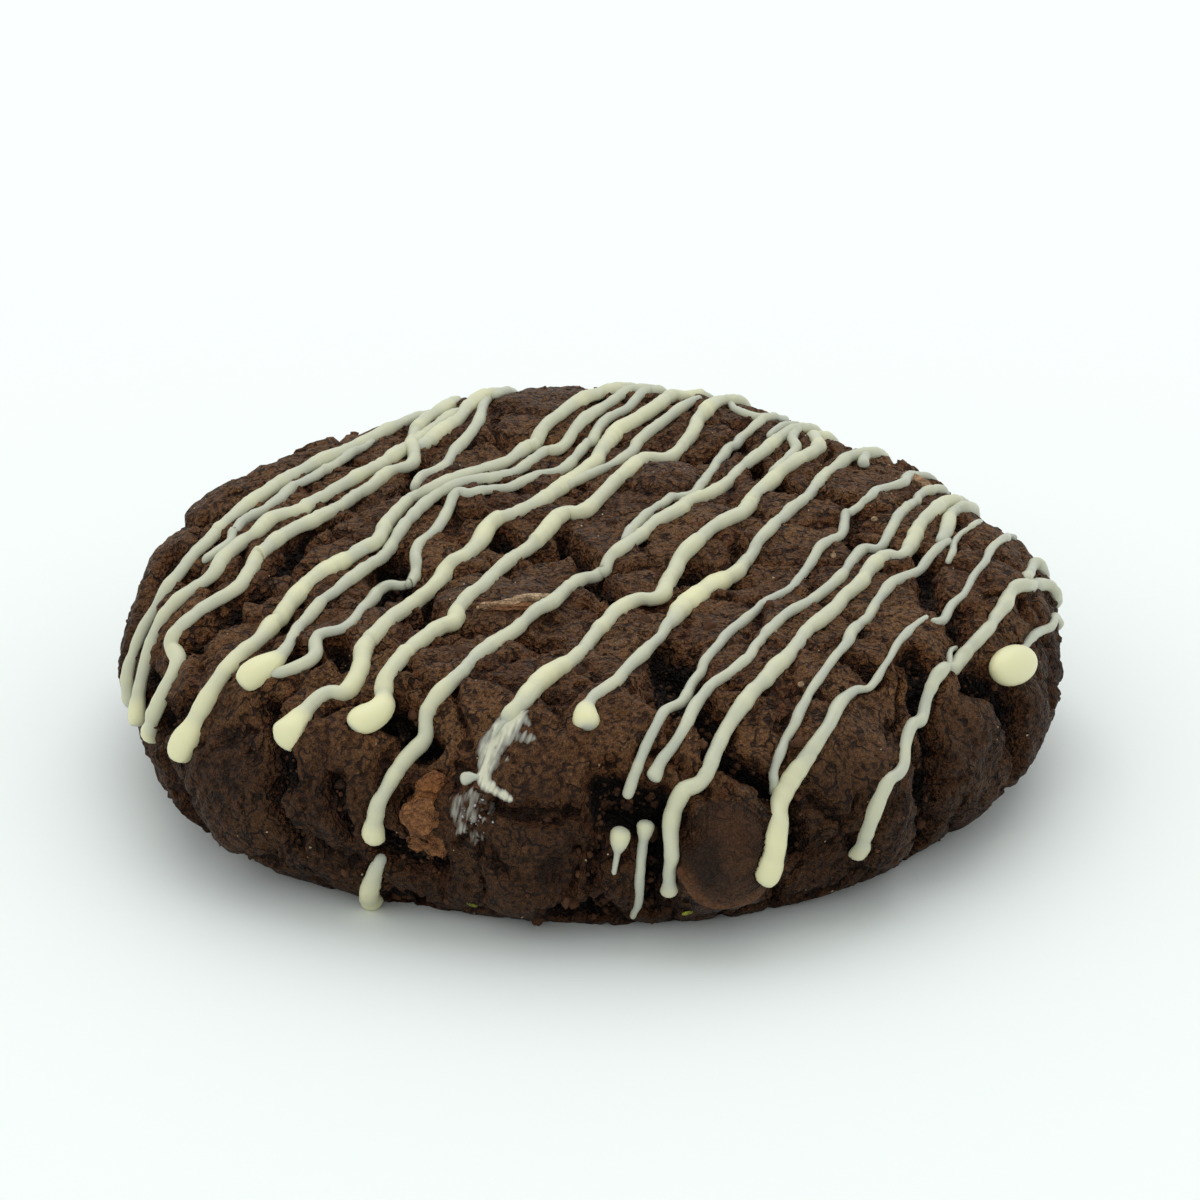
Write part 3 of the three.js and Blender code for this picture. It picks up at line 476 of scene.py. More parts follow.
def stations(number, width, drop, route, spindle=False):
    # one line of drizzle: places, half widths and levels, from the route and the crags under it
    step, width = drizzle["step"], width * drizzle["thinner"]
    seen, s = smoothRoute(route, step)
    p = seen
    for again in range(4):  # from where it was read to where it lies
        bead = drizzle["rise"] * width / 2
        p = seen - [[0, 1]] * sightShift(p, levelUnder(p, width) + bead)[:, None]
        p = np.stack([evened(p[:, 0], drizzle["evenSideways"]), evened(p[:, 1], drizzle["evenSideways"])], 1)
    still = fadeIn(0, drizzle["straightEnd"], s[-1] - s)
    strays = layered(s / drizzle["swayApart"], 0 * s + number, 81, 2)
    p = p + sideOf(p) * (drizzle["sway"] * still * strays)[:, None]
    level = levelUnder(p, width)
    steep = fadeIn(*drizzle["steepFrom"], np.abs(np.gradient(evened(level, 1.0), step)))
    half = width / 2 * (1 + drizzle["uneven"] * layered(s / drizzle["unevenApart"], 0 * s + number, 91, 2))
    half = half * (1 - drizzle["beginsThin"] * fadeIn(drizzle["thinFor"], 0, s))
    half = evened(half * (1 - drizzle["steepThin"] * steep), 0.5 / step)
    # closer stations round off the ends
    start = drizzle["roundStart"] * width
    tip = drop if drop > 0 else drizzle["roundEnd"] * width
    bend = 1 - np.cos(np.linspace(0, math.pi / 2, 7))
    between = s[(s > start + step) & (s < s[-1] - tip - step)]
    stops = np.concatenate([start * bend, between, s[-1] - tip * bend[::-1]])
    p = np.stack([np.interp(stops, s, p[:, 0]), np.interp(stops, s, p[:, 1])], 1)
    level, half = np.interp(stops, s, level), np.interp(stops, s, half)
    half = half * (1 + drizzle["beads"] * rolling(stops / drizzle["beadApart"], 0 * stops + number, 111))
    toEnd = s[-1] - stops
    half = half * roundedEnd(stops, start) * roundedEnd(toEnd, tip)
    if spindle:  # thickest in the middle, running out to nothing
        half = half * np.sin(math.pi * np.clip(stops / s[-1], 0, 1))
    if drop > 0:  # a drop: round in front, running back into the line
        behind = toEnd > drop
        fromDrop = (toEnd - drop) / (drop * np.where(behind, drizzle["dropTail"], 1.0))
        swell = drop * np.clip(1 - fromDrop ** 2, 0, 1) ** np.where(behind, 0.8, 0.5)
        half = (half ** 4 + swell ** 4) ** 0.25
    return {"p": p, "side": sideOf(p), "half": np.maximum(half, 0.02), "level": level, "s": stops}


lines = [stations(n, width, drop, route) for n, (width, drop, *route) in enumerate(drizzle["lines"])]
lines += [stations(n + 45, width, 0, route, True) for n, (width, *route) in enumerate(drizzle["swellings"])]
ballWidth, ballRadius, *ballRoute = drizzle["ball"]
lines.append(stations(49, ballWidth, ballRadius, ballRoute))
strokes = [{**stations(n + 50, width, 0, route), "cover": cover}
           for n, (width, cover, *route) in enumerate(drizzle["smear"])]
print("drizzle routes", len(lines), "lines,", round(sum(line["s"][-1] for line in lines)), "mm")


def pressed(x, y, height):
    # the dough lies just below each line of drizzle, so that nothing pokes through: it is at most the
    # line's level + half width * (0.7 * a half round over the line and its margin - 0.2)
    height = height.copy()
    beside, atOnce = 3, 4000
    for line in lines:
        p, half, level = line["p"], line["half"], line["level"]
        low, high = p.min(0) - beside, p.max(0) + beside
        near = np.flatnonzero((x > low[0]) & (x < high[0]) & (y > low[1]) & (y < high[1]))
        for part in np.array_split(near, max(1, len(near) // atOnce)):
            d = np.hypot(x[part, None] - p[None, :, 0], y[part, None] - p[None, :, 1])
            pick = d.argmin(1)
            away = d[np.arange(len(part)), pick] / (half[pick] + drizzle["margin"])
            roof = level[pick] + half[pick] * (0.7 * np.sqrt(np.clip(1 - away ** 2, 0, 1)) - 0.2)
            height[part] = np.where(away < 0.95, np.minimum(height[part], roof), height[part])
    return height


def dipped(height):
    # how far each place of the grid lies below its surroundings, near and further round, in millimetres
    total = np.zeros(height.shape)
    for reach, share in dough["hollowReach"]:
        around = np.apply_along_axis(evened, 0, height, reach)
        total += share * (np.apply_along_axis(evened, 1, around, reach) - height)
    return total


def makeDough(material):
    # the crust is a square grid bent onto a disc: the larger of u and v is how far out a place is, and
    # their ratio gives its bearing; rings of the same bearings close the underside
    n = dough["gridSteps"]
    u, v = np.meshgrid(np.linspace(-1, 1, n + 1), np.linspace(-1, 1, n + 1))
    wide = np.abs(u) >= np.abs(v)
    lead, other = np.where(wide, u, v), np.where(wide, v, u)
    turn = other / np.where(lead == 0, 1, lead) * math.pi / 4
    reach = dough["finer"] * np.abs(lead) + (1 - dough["finer"]) * np.abs(lead) ** 6
    out = flatRadius * np.sign(lead) * reach
    x = np.where(wide, out * np.cos(turn), out * np.sin(turn)).ravel()
    y = np.where(wide, out * np.sin(turn), out * np.cos(turn)).ravel()
    height, sheen, depth = crust(x, y)
    height = pressed(x, y, height)
    # hollow: how far each place lies below its surroundings; the colours use it for painted shade in hollows
    # and painted highlight on rises
    hollow = dipped(height.reshape(n + 1, n + 1)).ravel()
    points = onRound(x, y, height)
    number = np.arange((n + 1) ** 2).reshape(n + 1, n + 1)
    top = np.stack([number[:-1, :-1], number[:-1, 1:], number[1:, 1:], number[1:, :-1]], -1).reshape(-1, 4)
    rim = np.concatenate([number[0, :-1], number[:-1, -1], number[-1, :0:-1], number[:0:-1, 0]])
    rows, faces, last = [points], [top], rim
    count = len(rim)
    bearing = np.arctan2(y[rim], x[rim])
    mx, my = roundForm["middle"]
    start = len(points)
    for radius in dough["footRings"]:
        ring = np.stack([radius * np.cos(bearing) - mx, radius * np.sin(bearing) - my, 0 * bearing], 1) * mm
        new = start + np.arange(count)
        faces.append(np.stack([last, np.roll(last, -1), np.roll(new, -1), new], 1)[:, ::-1])
        rows.append(ring)
        last, start = new, start + count
    rows.append(np.array([[-mx, -my, 0]]) * mm)
    faces.append(np.stack([np.roll(last, -1), last, np.full(count, start)], 1))
    pad = sum(len(r) for r in rows[1:])
    marks = {"sheen": sheen, "crack": depth, "hollow": hollow}
    marks = {mark: np.append(values, np.zeros(pad)) for mark, values in marks.items()}
    piece = newMesh("dough", np.vstack(rows), faces, marks)
    return finishPiece(piece, material)


def makeDrizzle(material):
    # a rounded section carried along each route: half an oval above the line's level, a flatter one below,
    # standing squarely off the crust, closed at both ends by a point
    sides = drizzle["sides"]
    around = np.linspace(0, 2 * math.pi, sides, endpoint=False)
    over = np.where(np.sin(around) > 0, 2 * drizzle["rise"], 2 * drizzle["sunk"]) * np.sin(around)
    points, faces, thick, start = [], [], [], 0
    for line in lines:
        p, half, level, side = line["p"], line["half"], line["level"], line["side"]
        base = onRound(p[:, 0], p[:, 1], level)
        out = squaredOff(p)
        reach = onRound(*(p + 0.1 * side).T, level) - onRound(*(p - 0.1 * side).T, level)
        sideways = reach / np.linalg.norm(reach, axis=1, keepdims=True)
        flat = np.sqrt(drizzle["flattens"] / np.maximum(half, drizzle["flattens"]))[:, None, None]
        ring = base[:, None] + mm * half[:, None, None] * (
            np.cos(around)[None, :, None] * sideways[:, None] + flat * over[None, :, None] * out[:, None])
        count = len(p)
        number = start + np.arange(count * sides).reshape(count, sides)
        a, b = number[:-1], number[1:]
        walls = np.stack([a, np.roll(a, -1, 1), np.roll(b, -1, 1), b], -1).reshape(-1, 4)
        tips = start + count * sides + np.arange(2)
        capA = np.stack([np.roll(number[0], -1), number[0], np.full(sides, tips[0])], 1)
        capB = np.stack([number[-1], np.roll(number[-1], -1), np.full(sides, tips[1])], 1)
        points += [ring.reshape(-1, 3), base[[0, -1]]]
        faces += [walls, capA, capB]
        thick += [np.repeat(half, sides), half[[0, -1]]]
        start += count * sides + 2
    piece = newMesh("drizzle", np.vstack(points), faces, {"thick": np.concatenate(thick)})
    return finishPiece(piece, material)


film = {
    "low": (-17.5, -57.0), "high": (-3.5, -40.0), "square": 0.12,   # the stretch of crust that it is laid on
    "lifted": (0.05, 0.17),                  # how thick it is where it hardly covers and covers best
    "tuckedIn": 0.5, "tuckedAt": (0.05, -0.25),     # how far its edge goes into the dough, and where
    "cutAt": -0.35,                          # cover below which there is no film
    "torn": {"wide": 0.20, "long": 1.3, "strength": 0.24}, "heading": (-0.45, -0.89),
    "evenOut": 1.5,
}


def makeFilm(material):
    # a grid laid over the dough; cover = the most of cover * (1 - (distance / half width) squared) over
    # the strokes, frayed by noise drawn out along the heading; where it runs out it dips into the dough
    low, high, torn, ahead = film["low"], film["high"], film["torn"], film["heading"]
    xs, ys = np.meshgrid(*(np.arange(low[n], high[n], film["square"]) for n in (0, 1)))
    x, y = xs.ravel(), ys.ravel()
    cover = np.full(x.shape, -1.0)
    for stroke in strokes:
        d = np.hypot(x[:, None] - stroke["p"][None, :, 0], y[:, None] - stroke["p"][None, :, 1])
        cover = np.maximum(cover, (stroke["cover"] * (1 - (d / stroke["half"][None]) ** 2)).max(1))
    alongIt, acrossIt = x * ahead[0] + y * ahead[1], x * ahead[1] - y * ahead[0]
    cover = cover + torn["strength"] * layered(acrossIt / torn["wide"], alongIt / torn["long"], 131, 2)
    under = pressed(x, y, crust(x, y)[0]).reshape(xs.shape)
    for axis in (0, 1):
        under = np.apply_along_axis(evened, axis, under, film["evenOut"])
    least, most = film["lifted"]
    level = under.ravel() + least + (most - least) * np.clip(cover, 0, 1)
    level = level - film["tuckedIn"] * fadeIn(*film["tuckedAt"], cover)
    rows, columns = xs.shape
    number = np.arange(rows * columns).reshape(rows, columns)
    faces = np.stack([number[:-1, :-1], number[:-1, 1:], number[1:, 1:], number[1:, :-1]], -1).reshape(-1, 4)
    shown = cover[faces].max(1) > film["cutAt"]
    used, faces = np.unique(faces[shown], return_inverse=True)
    points = onRound(x[used], y[used], level[used])
    piece = newMesh("icing_film", points, faces.reshape(-1, 4), {"cover": np.clip(cover[used], 0, 1)})
    return finishPiece(piece, material)


# Small loose things: a few dozen faces each, joined into one mesh for each kind
def ball(splits):  # a rough ball's corners and faces
    bm = bmesh.new()
    bmesh.ops.create_icosphere(bm, subdivisions=splits, radius=1)
    points = np.array([v.co for v in bm.verts])
    faces = np.array([[v.index for v in f.verts] for f in bm.faces])
    bm.free()
    return points, faces


def scattered(rng, count, chance):
    # seeded places spread over the crust, kept where a draw falls below the chance there
    found, tries, reach = np.zeros((0, 2)), 4000, 0.985 * flatRadius
    while len(found) < count:
        q = reach * np.sqrt(rng.random(tries))
        bearing = 2 * math.pi * rng.random(tries)
        p = np.stack([q * np.cos(bearing), q * np.sin(bearing)], 1)
        found = np.vstack([found, p[rng.random(tries) < chance(p[:, 0], p[:, 1])]])
    return found[:count]


def turned(rng, count):  # random rotations, from random unit quaternions
    q = rng.normal(size=(count, 4))
    w, x, y, z = (q / np.linalg.norm(q, axis=1, keepdims=True)).T
    return np.stack([
        1 - 2 * (y * y + z * z), 2 * (x * y - z * w), 2 * (x * z + y * w),
        2 * (x * y + z * w), 1 - 2 * (x * x + z * z), 2 * (y * z - x * w),
        2 * (x * z - y * w), 2 * (y * z + x * w), 1 - 2 * (x * x + y * y)], 1).reshape(-1, 3, 3)


def strewn(name, rng, places, sizes, splits, rough, sink, material):
    # each grain is a rough ball stretched and turned at random, sunk a little into the dough
    unit, faces = ball(splits)
    count, drawnOut = len(places), 0.35
    stretch = 1 + drawnOut * rng.uniform(-1, 1, (count, 1, 3))
    jag = 1 + rough * rng.uniform(-1, 1, (count, len(unit), 1))
    grain = np.einsum("nij,nkj->nki", turned(rng, count), unit[None] * stretch * jag)
    height = pressed(places[:, 0], places[:, 1], crust(places[:, 0], places[:, 1])[0])
    middle = onRound(places[:, 0], places[:, 1], height - sink * sizes)
    points = middle[:, None] + grain * sizes[:, None, None] * mm
    points[..., 2] = np.maximum(points[..., 2], 0)
    joined = (faces[None] + len(unit) * np.arange(count)[:, None, None]).reshape(-1, 3)
    tone = np.repeat(rng.random(count), len(unit))
    piece = newMesh(name, points.reshape(-1, 3), joined, {"tone": tone}, smooth=False)
    return finishPiece(piece, material)


def clearance(places):  # how far each place is from the edge of the nearest line of drizzle
    clear = np.full(len(places), 1e9)
    for line in lines:
        d = np.hypot(places[:, None, 0] - line["p"][None, :, 0], places[:, None, 1] - line["p"][None, :, 1])
        clear = np.minimum(clear, (d - line["half"]).min(1))
    return clear


crumb = {
    "kinds": (("crumbs_large", 420, (0.35, 0.85), 2), ("crumbs_small", 2600, (0.16, 0.42), 1)),
    "onCrust": 0.03, "cracked": (0.2, 0.8), "inCracks": 0.9,   # chance on bare crust and, from there on, more
    "clear": 0.3, "rough": 0.28, "sink": 0.35, "dark": (0.018, 0.007, 0.003), "light": (0.085, 0.033, 0.012),
}
speck = {"count": 320, "size": (0.07, 0.14), "dark": (0.24, 0.14, 0.07), "light": (0.52, 0.38, 0.24)}
bloom = {"count": 24, "middle": (-12.0, -52.0), "spread": 0.9, "size": (0.06, 0.16),
         "dark": (0.10, 0.10, 0.105), "light": (0.40, 0.41, 0.42)}


def crackChance(x, y):  # how likely a crumb lies at each place
    return crumb["onCrust"] + fadeIn(*crumb["cracked"], crust(x, y)[2]) * crumb["inCracks"]


nuts = (  # x, y, half sizes, bearing, depth sunk, roughness, paleness
    (-18.6, -53.8, (2.4, 2.5, 1.6), 10, 0.0, 0.3, 0.05),
    (-16.6, -48.8, (1.8, 1.5, 1.1), 40, 0.0, 0.25, 0.0), (-19.4, -49.6, (1.3, 1.5, 1.0), 0, 0.1, 0.25, 0.0),
    (-18.0, -50.9, (1.8, 2.0, 1.1), 70, -0.1, 0.25, 0.05),
    (-6.4, -20.8, (2.5, 0.5, 0.5), 18, 0.0, 0.3, 1.0), (-9.0, -21.8, (2.0, 0.5, 0.5), 6, 0.05, 0.3, 0.6),
    (-7.6, -21.9, (2.6, 0.7, 0.5), 12, 0.25, 0.2, 0.1),
    (37.2, 19.2, (2.2, 1.2, 1.1), -25, -0.1, 0.16, 0.45),
    (35.2, 16.6, (0.9, 0.4, 0.4), -20, 0.1, 0.14, 1.0), (-30.5, 27.5, (1.9, 1.1, 0.8), 30, 0.4, 0.16, 0.2),
    (9.6, 19.0, (0.45, 0.3, 0.3), 0, 0.0, 0.1, 1.0), (29.8, 2.8, (0.35, 0.25, 0.25), 30, 0.0, 0.1, 0.9),
    (25.0, -6.8, (0.3, 0.25, 0.25), 0, 0.0, 0.1, 0.9), (20.5, -36.0, (0.35, 0.3, 0.25), 60, 0.0, 0.1, 0.9),
    (13.5, -12.0, (0.7, 0.5, 0.4), 30, 1.0, 0.2, 0.35), (-2.6, -3.6, (0.8, 0.6, 0.5), 0, 1.2, 0.2, 0.3),
    (33.4, -29.6, (0.7, 0.5, 0.5), 50, 1.0, 0.2, 0.3), (-27.8, -28.8, (0.8, 0.6, 0.5), 20, 1.2, 0.2, 0.25),
)
fullDrops = (   # the last is its thickness, for the colours
    (44.2, -21.6, (4.0, 2.05, 1.7), 63, -0.2, 0.0, 1.5),
)
flecks = (
    (13.2, -63.4, (0.62, 0.3, 0.14), 15, -0.1, 0.1, 0.6),
    (-16.6, -63.5, (0.6, 0.28, 0.14), -20, -0.1, 0.1, 0.3),
)
chunkForm = {"blocky": 0.8, "knobs": 2.2, "splits": 4}   # power of its shape, noise over its length


def chunks(name, kinds, material, mark="tone"):
    # each chunk is a ball with its three half sizes, made blocky by a power below 1 and rough by rolling
    # noise, turned on the crust to its bearing and sunk into it; tone goes from dark to pale
    points, faces, tones, start = [], [], [], 0
    unit, unitFaces = ball(chunkForm["splits"])
    u, v, w = unit.T * chunkForm["knobs"]
    for n, (x, y, size, bearing, sunk, rough, tone) in enumerate(kinds):
        blocky = np.sign(unit) * np.abs(unit) ** (chunkForm["blocky"] if rough > 0 else 1.0)
        jag = 1 + rough * layered(u + 1.7 * w + 9 * n, v - 1.3 * w, 95 + n, 4)
        body = blocky * jag[:, None] * np.array(size)
        a = math.radians(bearing)
        body = body @ np.array([[math.cos(a), math.sin(a), 0], [-math.sin(a), math.cos(a), 0], [0, 0, 1]])
        at = np.array([[x, y]], float)
        out = squaredOff(at)[0]
        right = np.cross((0, 1, 0), out)
        right /= np.linalg.norm(right)
        axes = np.stack([right, np.cross(out, right), out])
        level = crags(at[:, 0], at[:, 1])[0]
        points.append(onRound(at[:, 0], at[:, 1], level - sunk) + body @ axes * mm)
        faces.append(unitFaces + start)
        tones.append(np.full(len(unit), float(tone)))
        start += len(unit)
    points = np.vstack(points)
    points[:, 2] = np.maximum(points[:, 2], 0)
    piece = newMesh(name, points, np.vstack(faces), {mark: np.concatenate(tones)})
    return finishPiece(piece, material)


chocolate = {
    "place": (15.2, -55.2), "radius": 6.9, "steps": 60,
    "lobes": ((2, 0.08, 1), (3, 0.05, 0)),       # count, strength and turn of its outline's swells
    "proud": 0.3, "tuckedIn": 1.4, "tuckedFrom": 0.72,   # height over the crags, and its sunk rim
    "ripple": {"across": 2.6, "height": 0.14},
    "rim": (4.2, 6.4), "rimMiddle": 1.5, "rimSide": (0.5, -2.0),   # where its paler rim shows, in front
}


def makeChocolate(material):
    # a disc laid on the crags: level + proud at the middle, dropping below the dough at its rim
    steps, ring = chocolate["steps"], chocolate["steps"] // 2
    bearings = np.linspace(0, 2 * math.pi, steps, endpoint=False)
    q, bearing = np.meshgrid(np.linspace(0, 1, ring + 1)[1:], bearings)
    reach = q * (1 + sum(s * np.cos(n * bearing + a) for n, s, a in chocolate["lobes"]))
    dx = chocolate["radius"] * np.append((reach * np.cos(bearing)).ravel(), 0)
    dy = chocolate["radius"] * np.append((reach * np.sin(bearing)).ravel(), 0)
    x, y = chocolate["place"][0] + dx, chocolate["place"][1] + dy
    ripple = chocolate["ripple"]
    level = crags(x, y)[0] + chocolate["proud"]
    level += ripple["height"] * layered(x / ripple["across"], y / ripple["across"], 97, 3)
    level -= chocolate["tuckedIn"] * fadeIn(chocolate["tuckedFrom"], 1.0, np.append(q.ravel(), 0))
    points = onRound(x, y, pressed(x, y, level))
    number = np.arange(steps * ring).reshape(steps, ring)
    nextOn = np.roll(number, -1, 0)
    walls = np.stack([number[:, :-1], number[:, 1:], nextOn[:, 1:], nextOn[:, :-1]], -1).reshape(-1, 4)
    middle = np.stack([number[:, 0], nextOn[:, 0], np.full(steps, steps * ring)], 1)
    rim = fadeIn(*chocolate["rim"], np.hypot(dx, dy - chocolate["rimMiddle"]))
    rim = rim * fadeIn(*chocolate["rimSide"], dy)
    piece = newMesh("chocolate_lump", points, [walls, middle], {"tone": rim})
    return finishPiece(piece, material)


# Materials
def newMaterial(name):
    material = bpy.data.materials.new(name)
    material.use_nodes = True
    tree = material.node_tree
    return material, tree, tree.nodes["Principled BSDF"]


def add(tree, kind, values=None, **settings):  # a node with its settings and unlinked values
    made = tree.nodes.new(kind)
    for key, value in settings.items():
        setattr(made, key, value)
    for key, value in (values or {}).items():
        made.inputs[key].default_value = value
    return made


def join(tree, *pairs):  # pairs of (output socket, input socket)
    for a, b in pairs:
        tree.links.new(a, b)


def mixed(tree, factor, a, b, blend="MIX"):  # a colour mix; each side is a socket or a colour
    made = add(tree, "ShaderNodeMix", data_type="RGBA", blend_type=blend)
    for socket, value in ((made.inputs[0], factor), (made.inputs[6], a), (made.inputs[7], b)):
        if isinstance(value, bpy.types.NodeSocket):
            tree.links.new(value, socket)
        elif isinstance(value, (int, float)):
            socket.default_value = value
        else:
            socket.default_value = (*value, 1)
    return made.outputs[2]


def ranged(tree, value, low, high, toLow=0.0, toHigh=1.0):  # a value mapped from one range to another
    made = add(tree, "ShaderNodeMapRange", {"From Min": low, "From Max": high, "To Min": toLow,
                                            "To Max": toHigh}, interpolation_type="SMOOTHSTEP")
    tree.links.new(value, made.inputs["Value"])
    return made.outputs["Result"]


def worked(tree, operation, a, b=0.0):  # one sum of two sockets or values
    made = add(tree, "ShaderNodeMath", operation=operation)
    for socket, value in zip(made.inputs, (a, b)):
        if isinstance(value, bpy.types.NodeSocket):
            tree.links.new(value, socket)
        else:
            socket.default_value = value
    return made.outputs[0]


def times(tree, a, b):
    return worked(tree, "MULTIPLY", a, b)


def centred(tree, value, strength):  # (value - a half) * strength
    return times(tree, worked(tree, "SUBTRACT", value, 0.5), strength)


def noise(tree, vector, scale, detail, roughness=0.5, distortion=0.0):
    made = add(tree, "ShaderNodeTexNoise", {"Scale": scale, "Detail": detail, "Roughness": roughness,
                                            "Distortion": distortion})
    tree.links.new(vector, made.inputs["Vector"])
    return made.outputs


def stretched(tree, vector, **values):  # the same place, turned and scaled
    made = add(tree, "ShaderNodeMapping", values)
    tree.links.new(vector, made.inputs["Vector"])
    return made.outputs["Vector"]


grainForm = {  # sizes are noise scales, per metre; the rest are shares and the values where they begin
    "stray": 1000.0, "strayReach": 0.0013, "grains": 1600.0, "patches": 330.0, "fine": 1500.0,
    "winding": 420.0,
    # the pits and splits also give the crease mask, which darkens the dough as painted shade
    "pitNoise": 0.7, "pitShadeAt": (0.5, 0.72), "pitPatches": (0.4, 0.6, 0.35, 1.0), "pitShadeShare": 0.6,
    "splitAt": (0.006, 0.028, 1.0, 0.0), "splitPatches": (0.44, 0.55), "splitDepth": 0.6,
    "fineHeight": 1.35, "patchHeight": 0.8, "grainHeight": 0.45, "level": 0.5,
}


def makeGrainGroup():
    # baked grain: rounded grains under 1 mm with pits between them and winding splits in patches;
    # height = fine noise + patches - distance from the nearest grain's middle - splits + level
    group = bpy.data.node_groups.new("bakedGrain", "ShaderNodeTree")
    for name, kind, way in (("Vector", "NodeSocketVector", "INPUT"), ("Scale", "NodeSocketFloat", "INPUT"),
                            ("Height", "NodeSocketFloat", "OUTPUT"), ("Tone", "NodeSocketFloat", "OUTPUT"),
                            ("CreaseShade", "NodeSocketFloat", "OUTPUT")):
        group.interface.new_socket(name=name, in_out=way, socket_type=kind)
    entry, leave = group.nodes.new("NodeGroupInput"), group.nodes.new("NodeGroupOutput")
    scaled = add(group, "ShaderNodeVectorMath", operation="SCALE")
    join(group, (entry.outputs["Vector"], scaled.inputs[0]), (entry.outputs["Scale"], scaled.inputs["Scale"]))
    vector = scaled.outputs[0]
    reach = (grainForm["strayReach"],) * 3
    aside = add(group, "ShaderNodeVectorMath", {1: (0.5,) * 3}, operation="SUBTRACT")
    strayed = add(group, "ShaderNodeVectorMath", {1: reach}, operation="MULTIPLY_ADD")
    grains = add(group, "ShaderNodeTexVoronoi", {"Scale": grainForm["grains"]})
    join(group, (noise(group, vector, grainForm["stray"], 1.0)["Color"], aside.inputs[0]),
         (aside.outputs[0], strayed.inputs[0]), (vector, strayed.inputs[2]),
         (strayed.outputs[0], grains.inputs["Vector"]))
    away = grains.outputs["Distance"]
    patch = noise(group, vector, grainForm["patches"], 3.0, 0.6)["Fac"]
    fine = noise(group, vector, grainForm["fine"], 2.0, 0.7)["Fac"]
    winding = noise(group, vector, grainForm["winding"], 2.0)["Fac"]
    outward = worked(group, "ADD", away, centred(group, fine, grainForm["pitNoise"]))
    # pits: the space between the grains, a mask only for painted shade
    pitShade = times(group, ranged(group, outward, *grainForm["pitShadeAt"]),
                ranged(group, patch, *grainForm["pitPatches"]))
    apart = worked(group, "ABSOLUTE", worked(group, "SUBTRACT", winding, 0.5))
    split = times(group, ranged(group, apart, *grainForm["splitAt"]),
                  ranged(group, patch, *grainForm["splitPatches"]))
    # crease: pits and splits, used as painted shade in the dough's colour
    shadedCrease = worked(group, "MAXIMUM", times(group, pitShade, grainForm["pitShadeShare"]), split)
    height = worked(group, "ADD", centred(group, fine, grainForm["fineHeight"]),
                    times(group, patch, grainForm["patchHeight"]))
    height = worked(group, "ADD", height, grainForm["level"])
    height = worked(group, "SUBTRACT", height, times(group, away, grainForm["grainHeight"]))
    height = worked(group, "SUBTRACT", height, times(group, split, grainForm["splitDepth"]))
    join(group, (height, leave.inputs["Height"]), (fine, leave.inputs["Tone"]),
         (shadedCrease, leave.inputs["CreaseShade"]))
    return group


grainGroup = makeGrainGroup()


def objectPlace(tree):
    return add(tree, "ShaderNodeTexCoord").outputs["Object"]


def addGrain(tree, place, scale):
    made = add(tree, "ShaderNodeGroup")
    made.node_tree = grainGroup
    made.inputs["Scale"].default_value = scale
    tree.links.new(place, made.inputs["Vector"])
    return made.outputs


def marked(tree, name):
    return add(tree, "ShaderNodeAttribute", attribute_name=name).outputs["Fac"]


def bump(tree, height, distance, strength, shader):
    made = add(tree, "ShaderNodeBump", {"Distance": distance, "Strength": strength})
    join(tree, (height, made.inputs["Height"]), (made.outputs["Normal"], shader.inputs["Normal"]))


def surface(tree, shader, base, rough, gloss):  # the colour, the roughness as a socket or a value, the gloss
    tree.links.new(base, shader.inputs["Base Color"])
    if isinstance(rough, bpy.types.NodeSocket):
        tree.links.new(rough, shader.inputs["Roughness"])
    else:
        shader.inputs["Roughness"].default_value = rough
    shader.inputs["Specular IOR Level"].default_value = gloss


doughLook = {
    # painted shade: the crevice, pit and side colours; painted highlight: the pale plate and red edge colours
    # where they fall on rises and grain tops
    "plate": (0.123, 0.0485, 0.0160), "palePlateAndHighlight": (0.225, 0.104, 0.039), "edge": (0.195, 0.084, 0.031),
    "creviceShade": (0.024, 0.0074, 0.0023), "rust": (0.155, 0.051, 0.0145), "pitShade": (0.0065, 0.0028, 0.0016),
    "lump": (0.050, 0.0215, 0.0108), "sideShade": (0.46, 0.42, 0.38),
    "broad": 110.0, "lightAt": (0.35, 0.68),     # scale of the paler patches, and where they show
    "lumpShare": 0.8, "creaseShadeShare": 0.62,
    # where each colour begins and is complete, and how much of it shows there
    "rustAt": (0.04, 0.3, 0.0, 0.8), "redEdgeAndHighlightAt": (-0.08, -0.4, 0.0, 0.5), "creviceShadeAt": (0.05, 0.4, 0.0, 0.8),
    "grainHighlightAt": (0.72, 0.9, 0.0, 0.6), "grainShadeAt": (0.66, 0.42, 0.0, 0.8), "pitShadeAt": (0.42, 0.95, 0.0, 0.95),
    "sideShadeHeights": (0.021, 0.013),               # metres above the plate where the painted shade on the side begins
    "roughness": (0.62, 0.42),                   # of the plates and of the smooth lumps
    "gloss": 0.2, "grain": 0.0021,
}


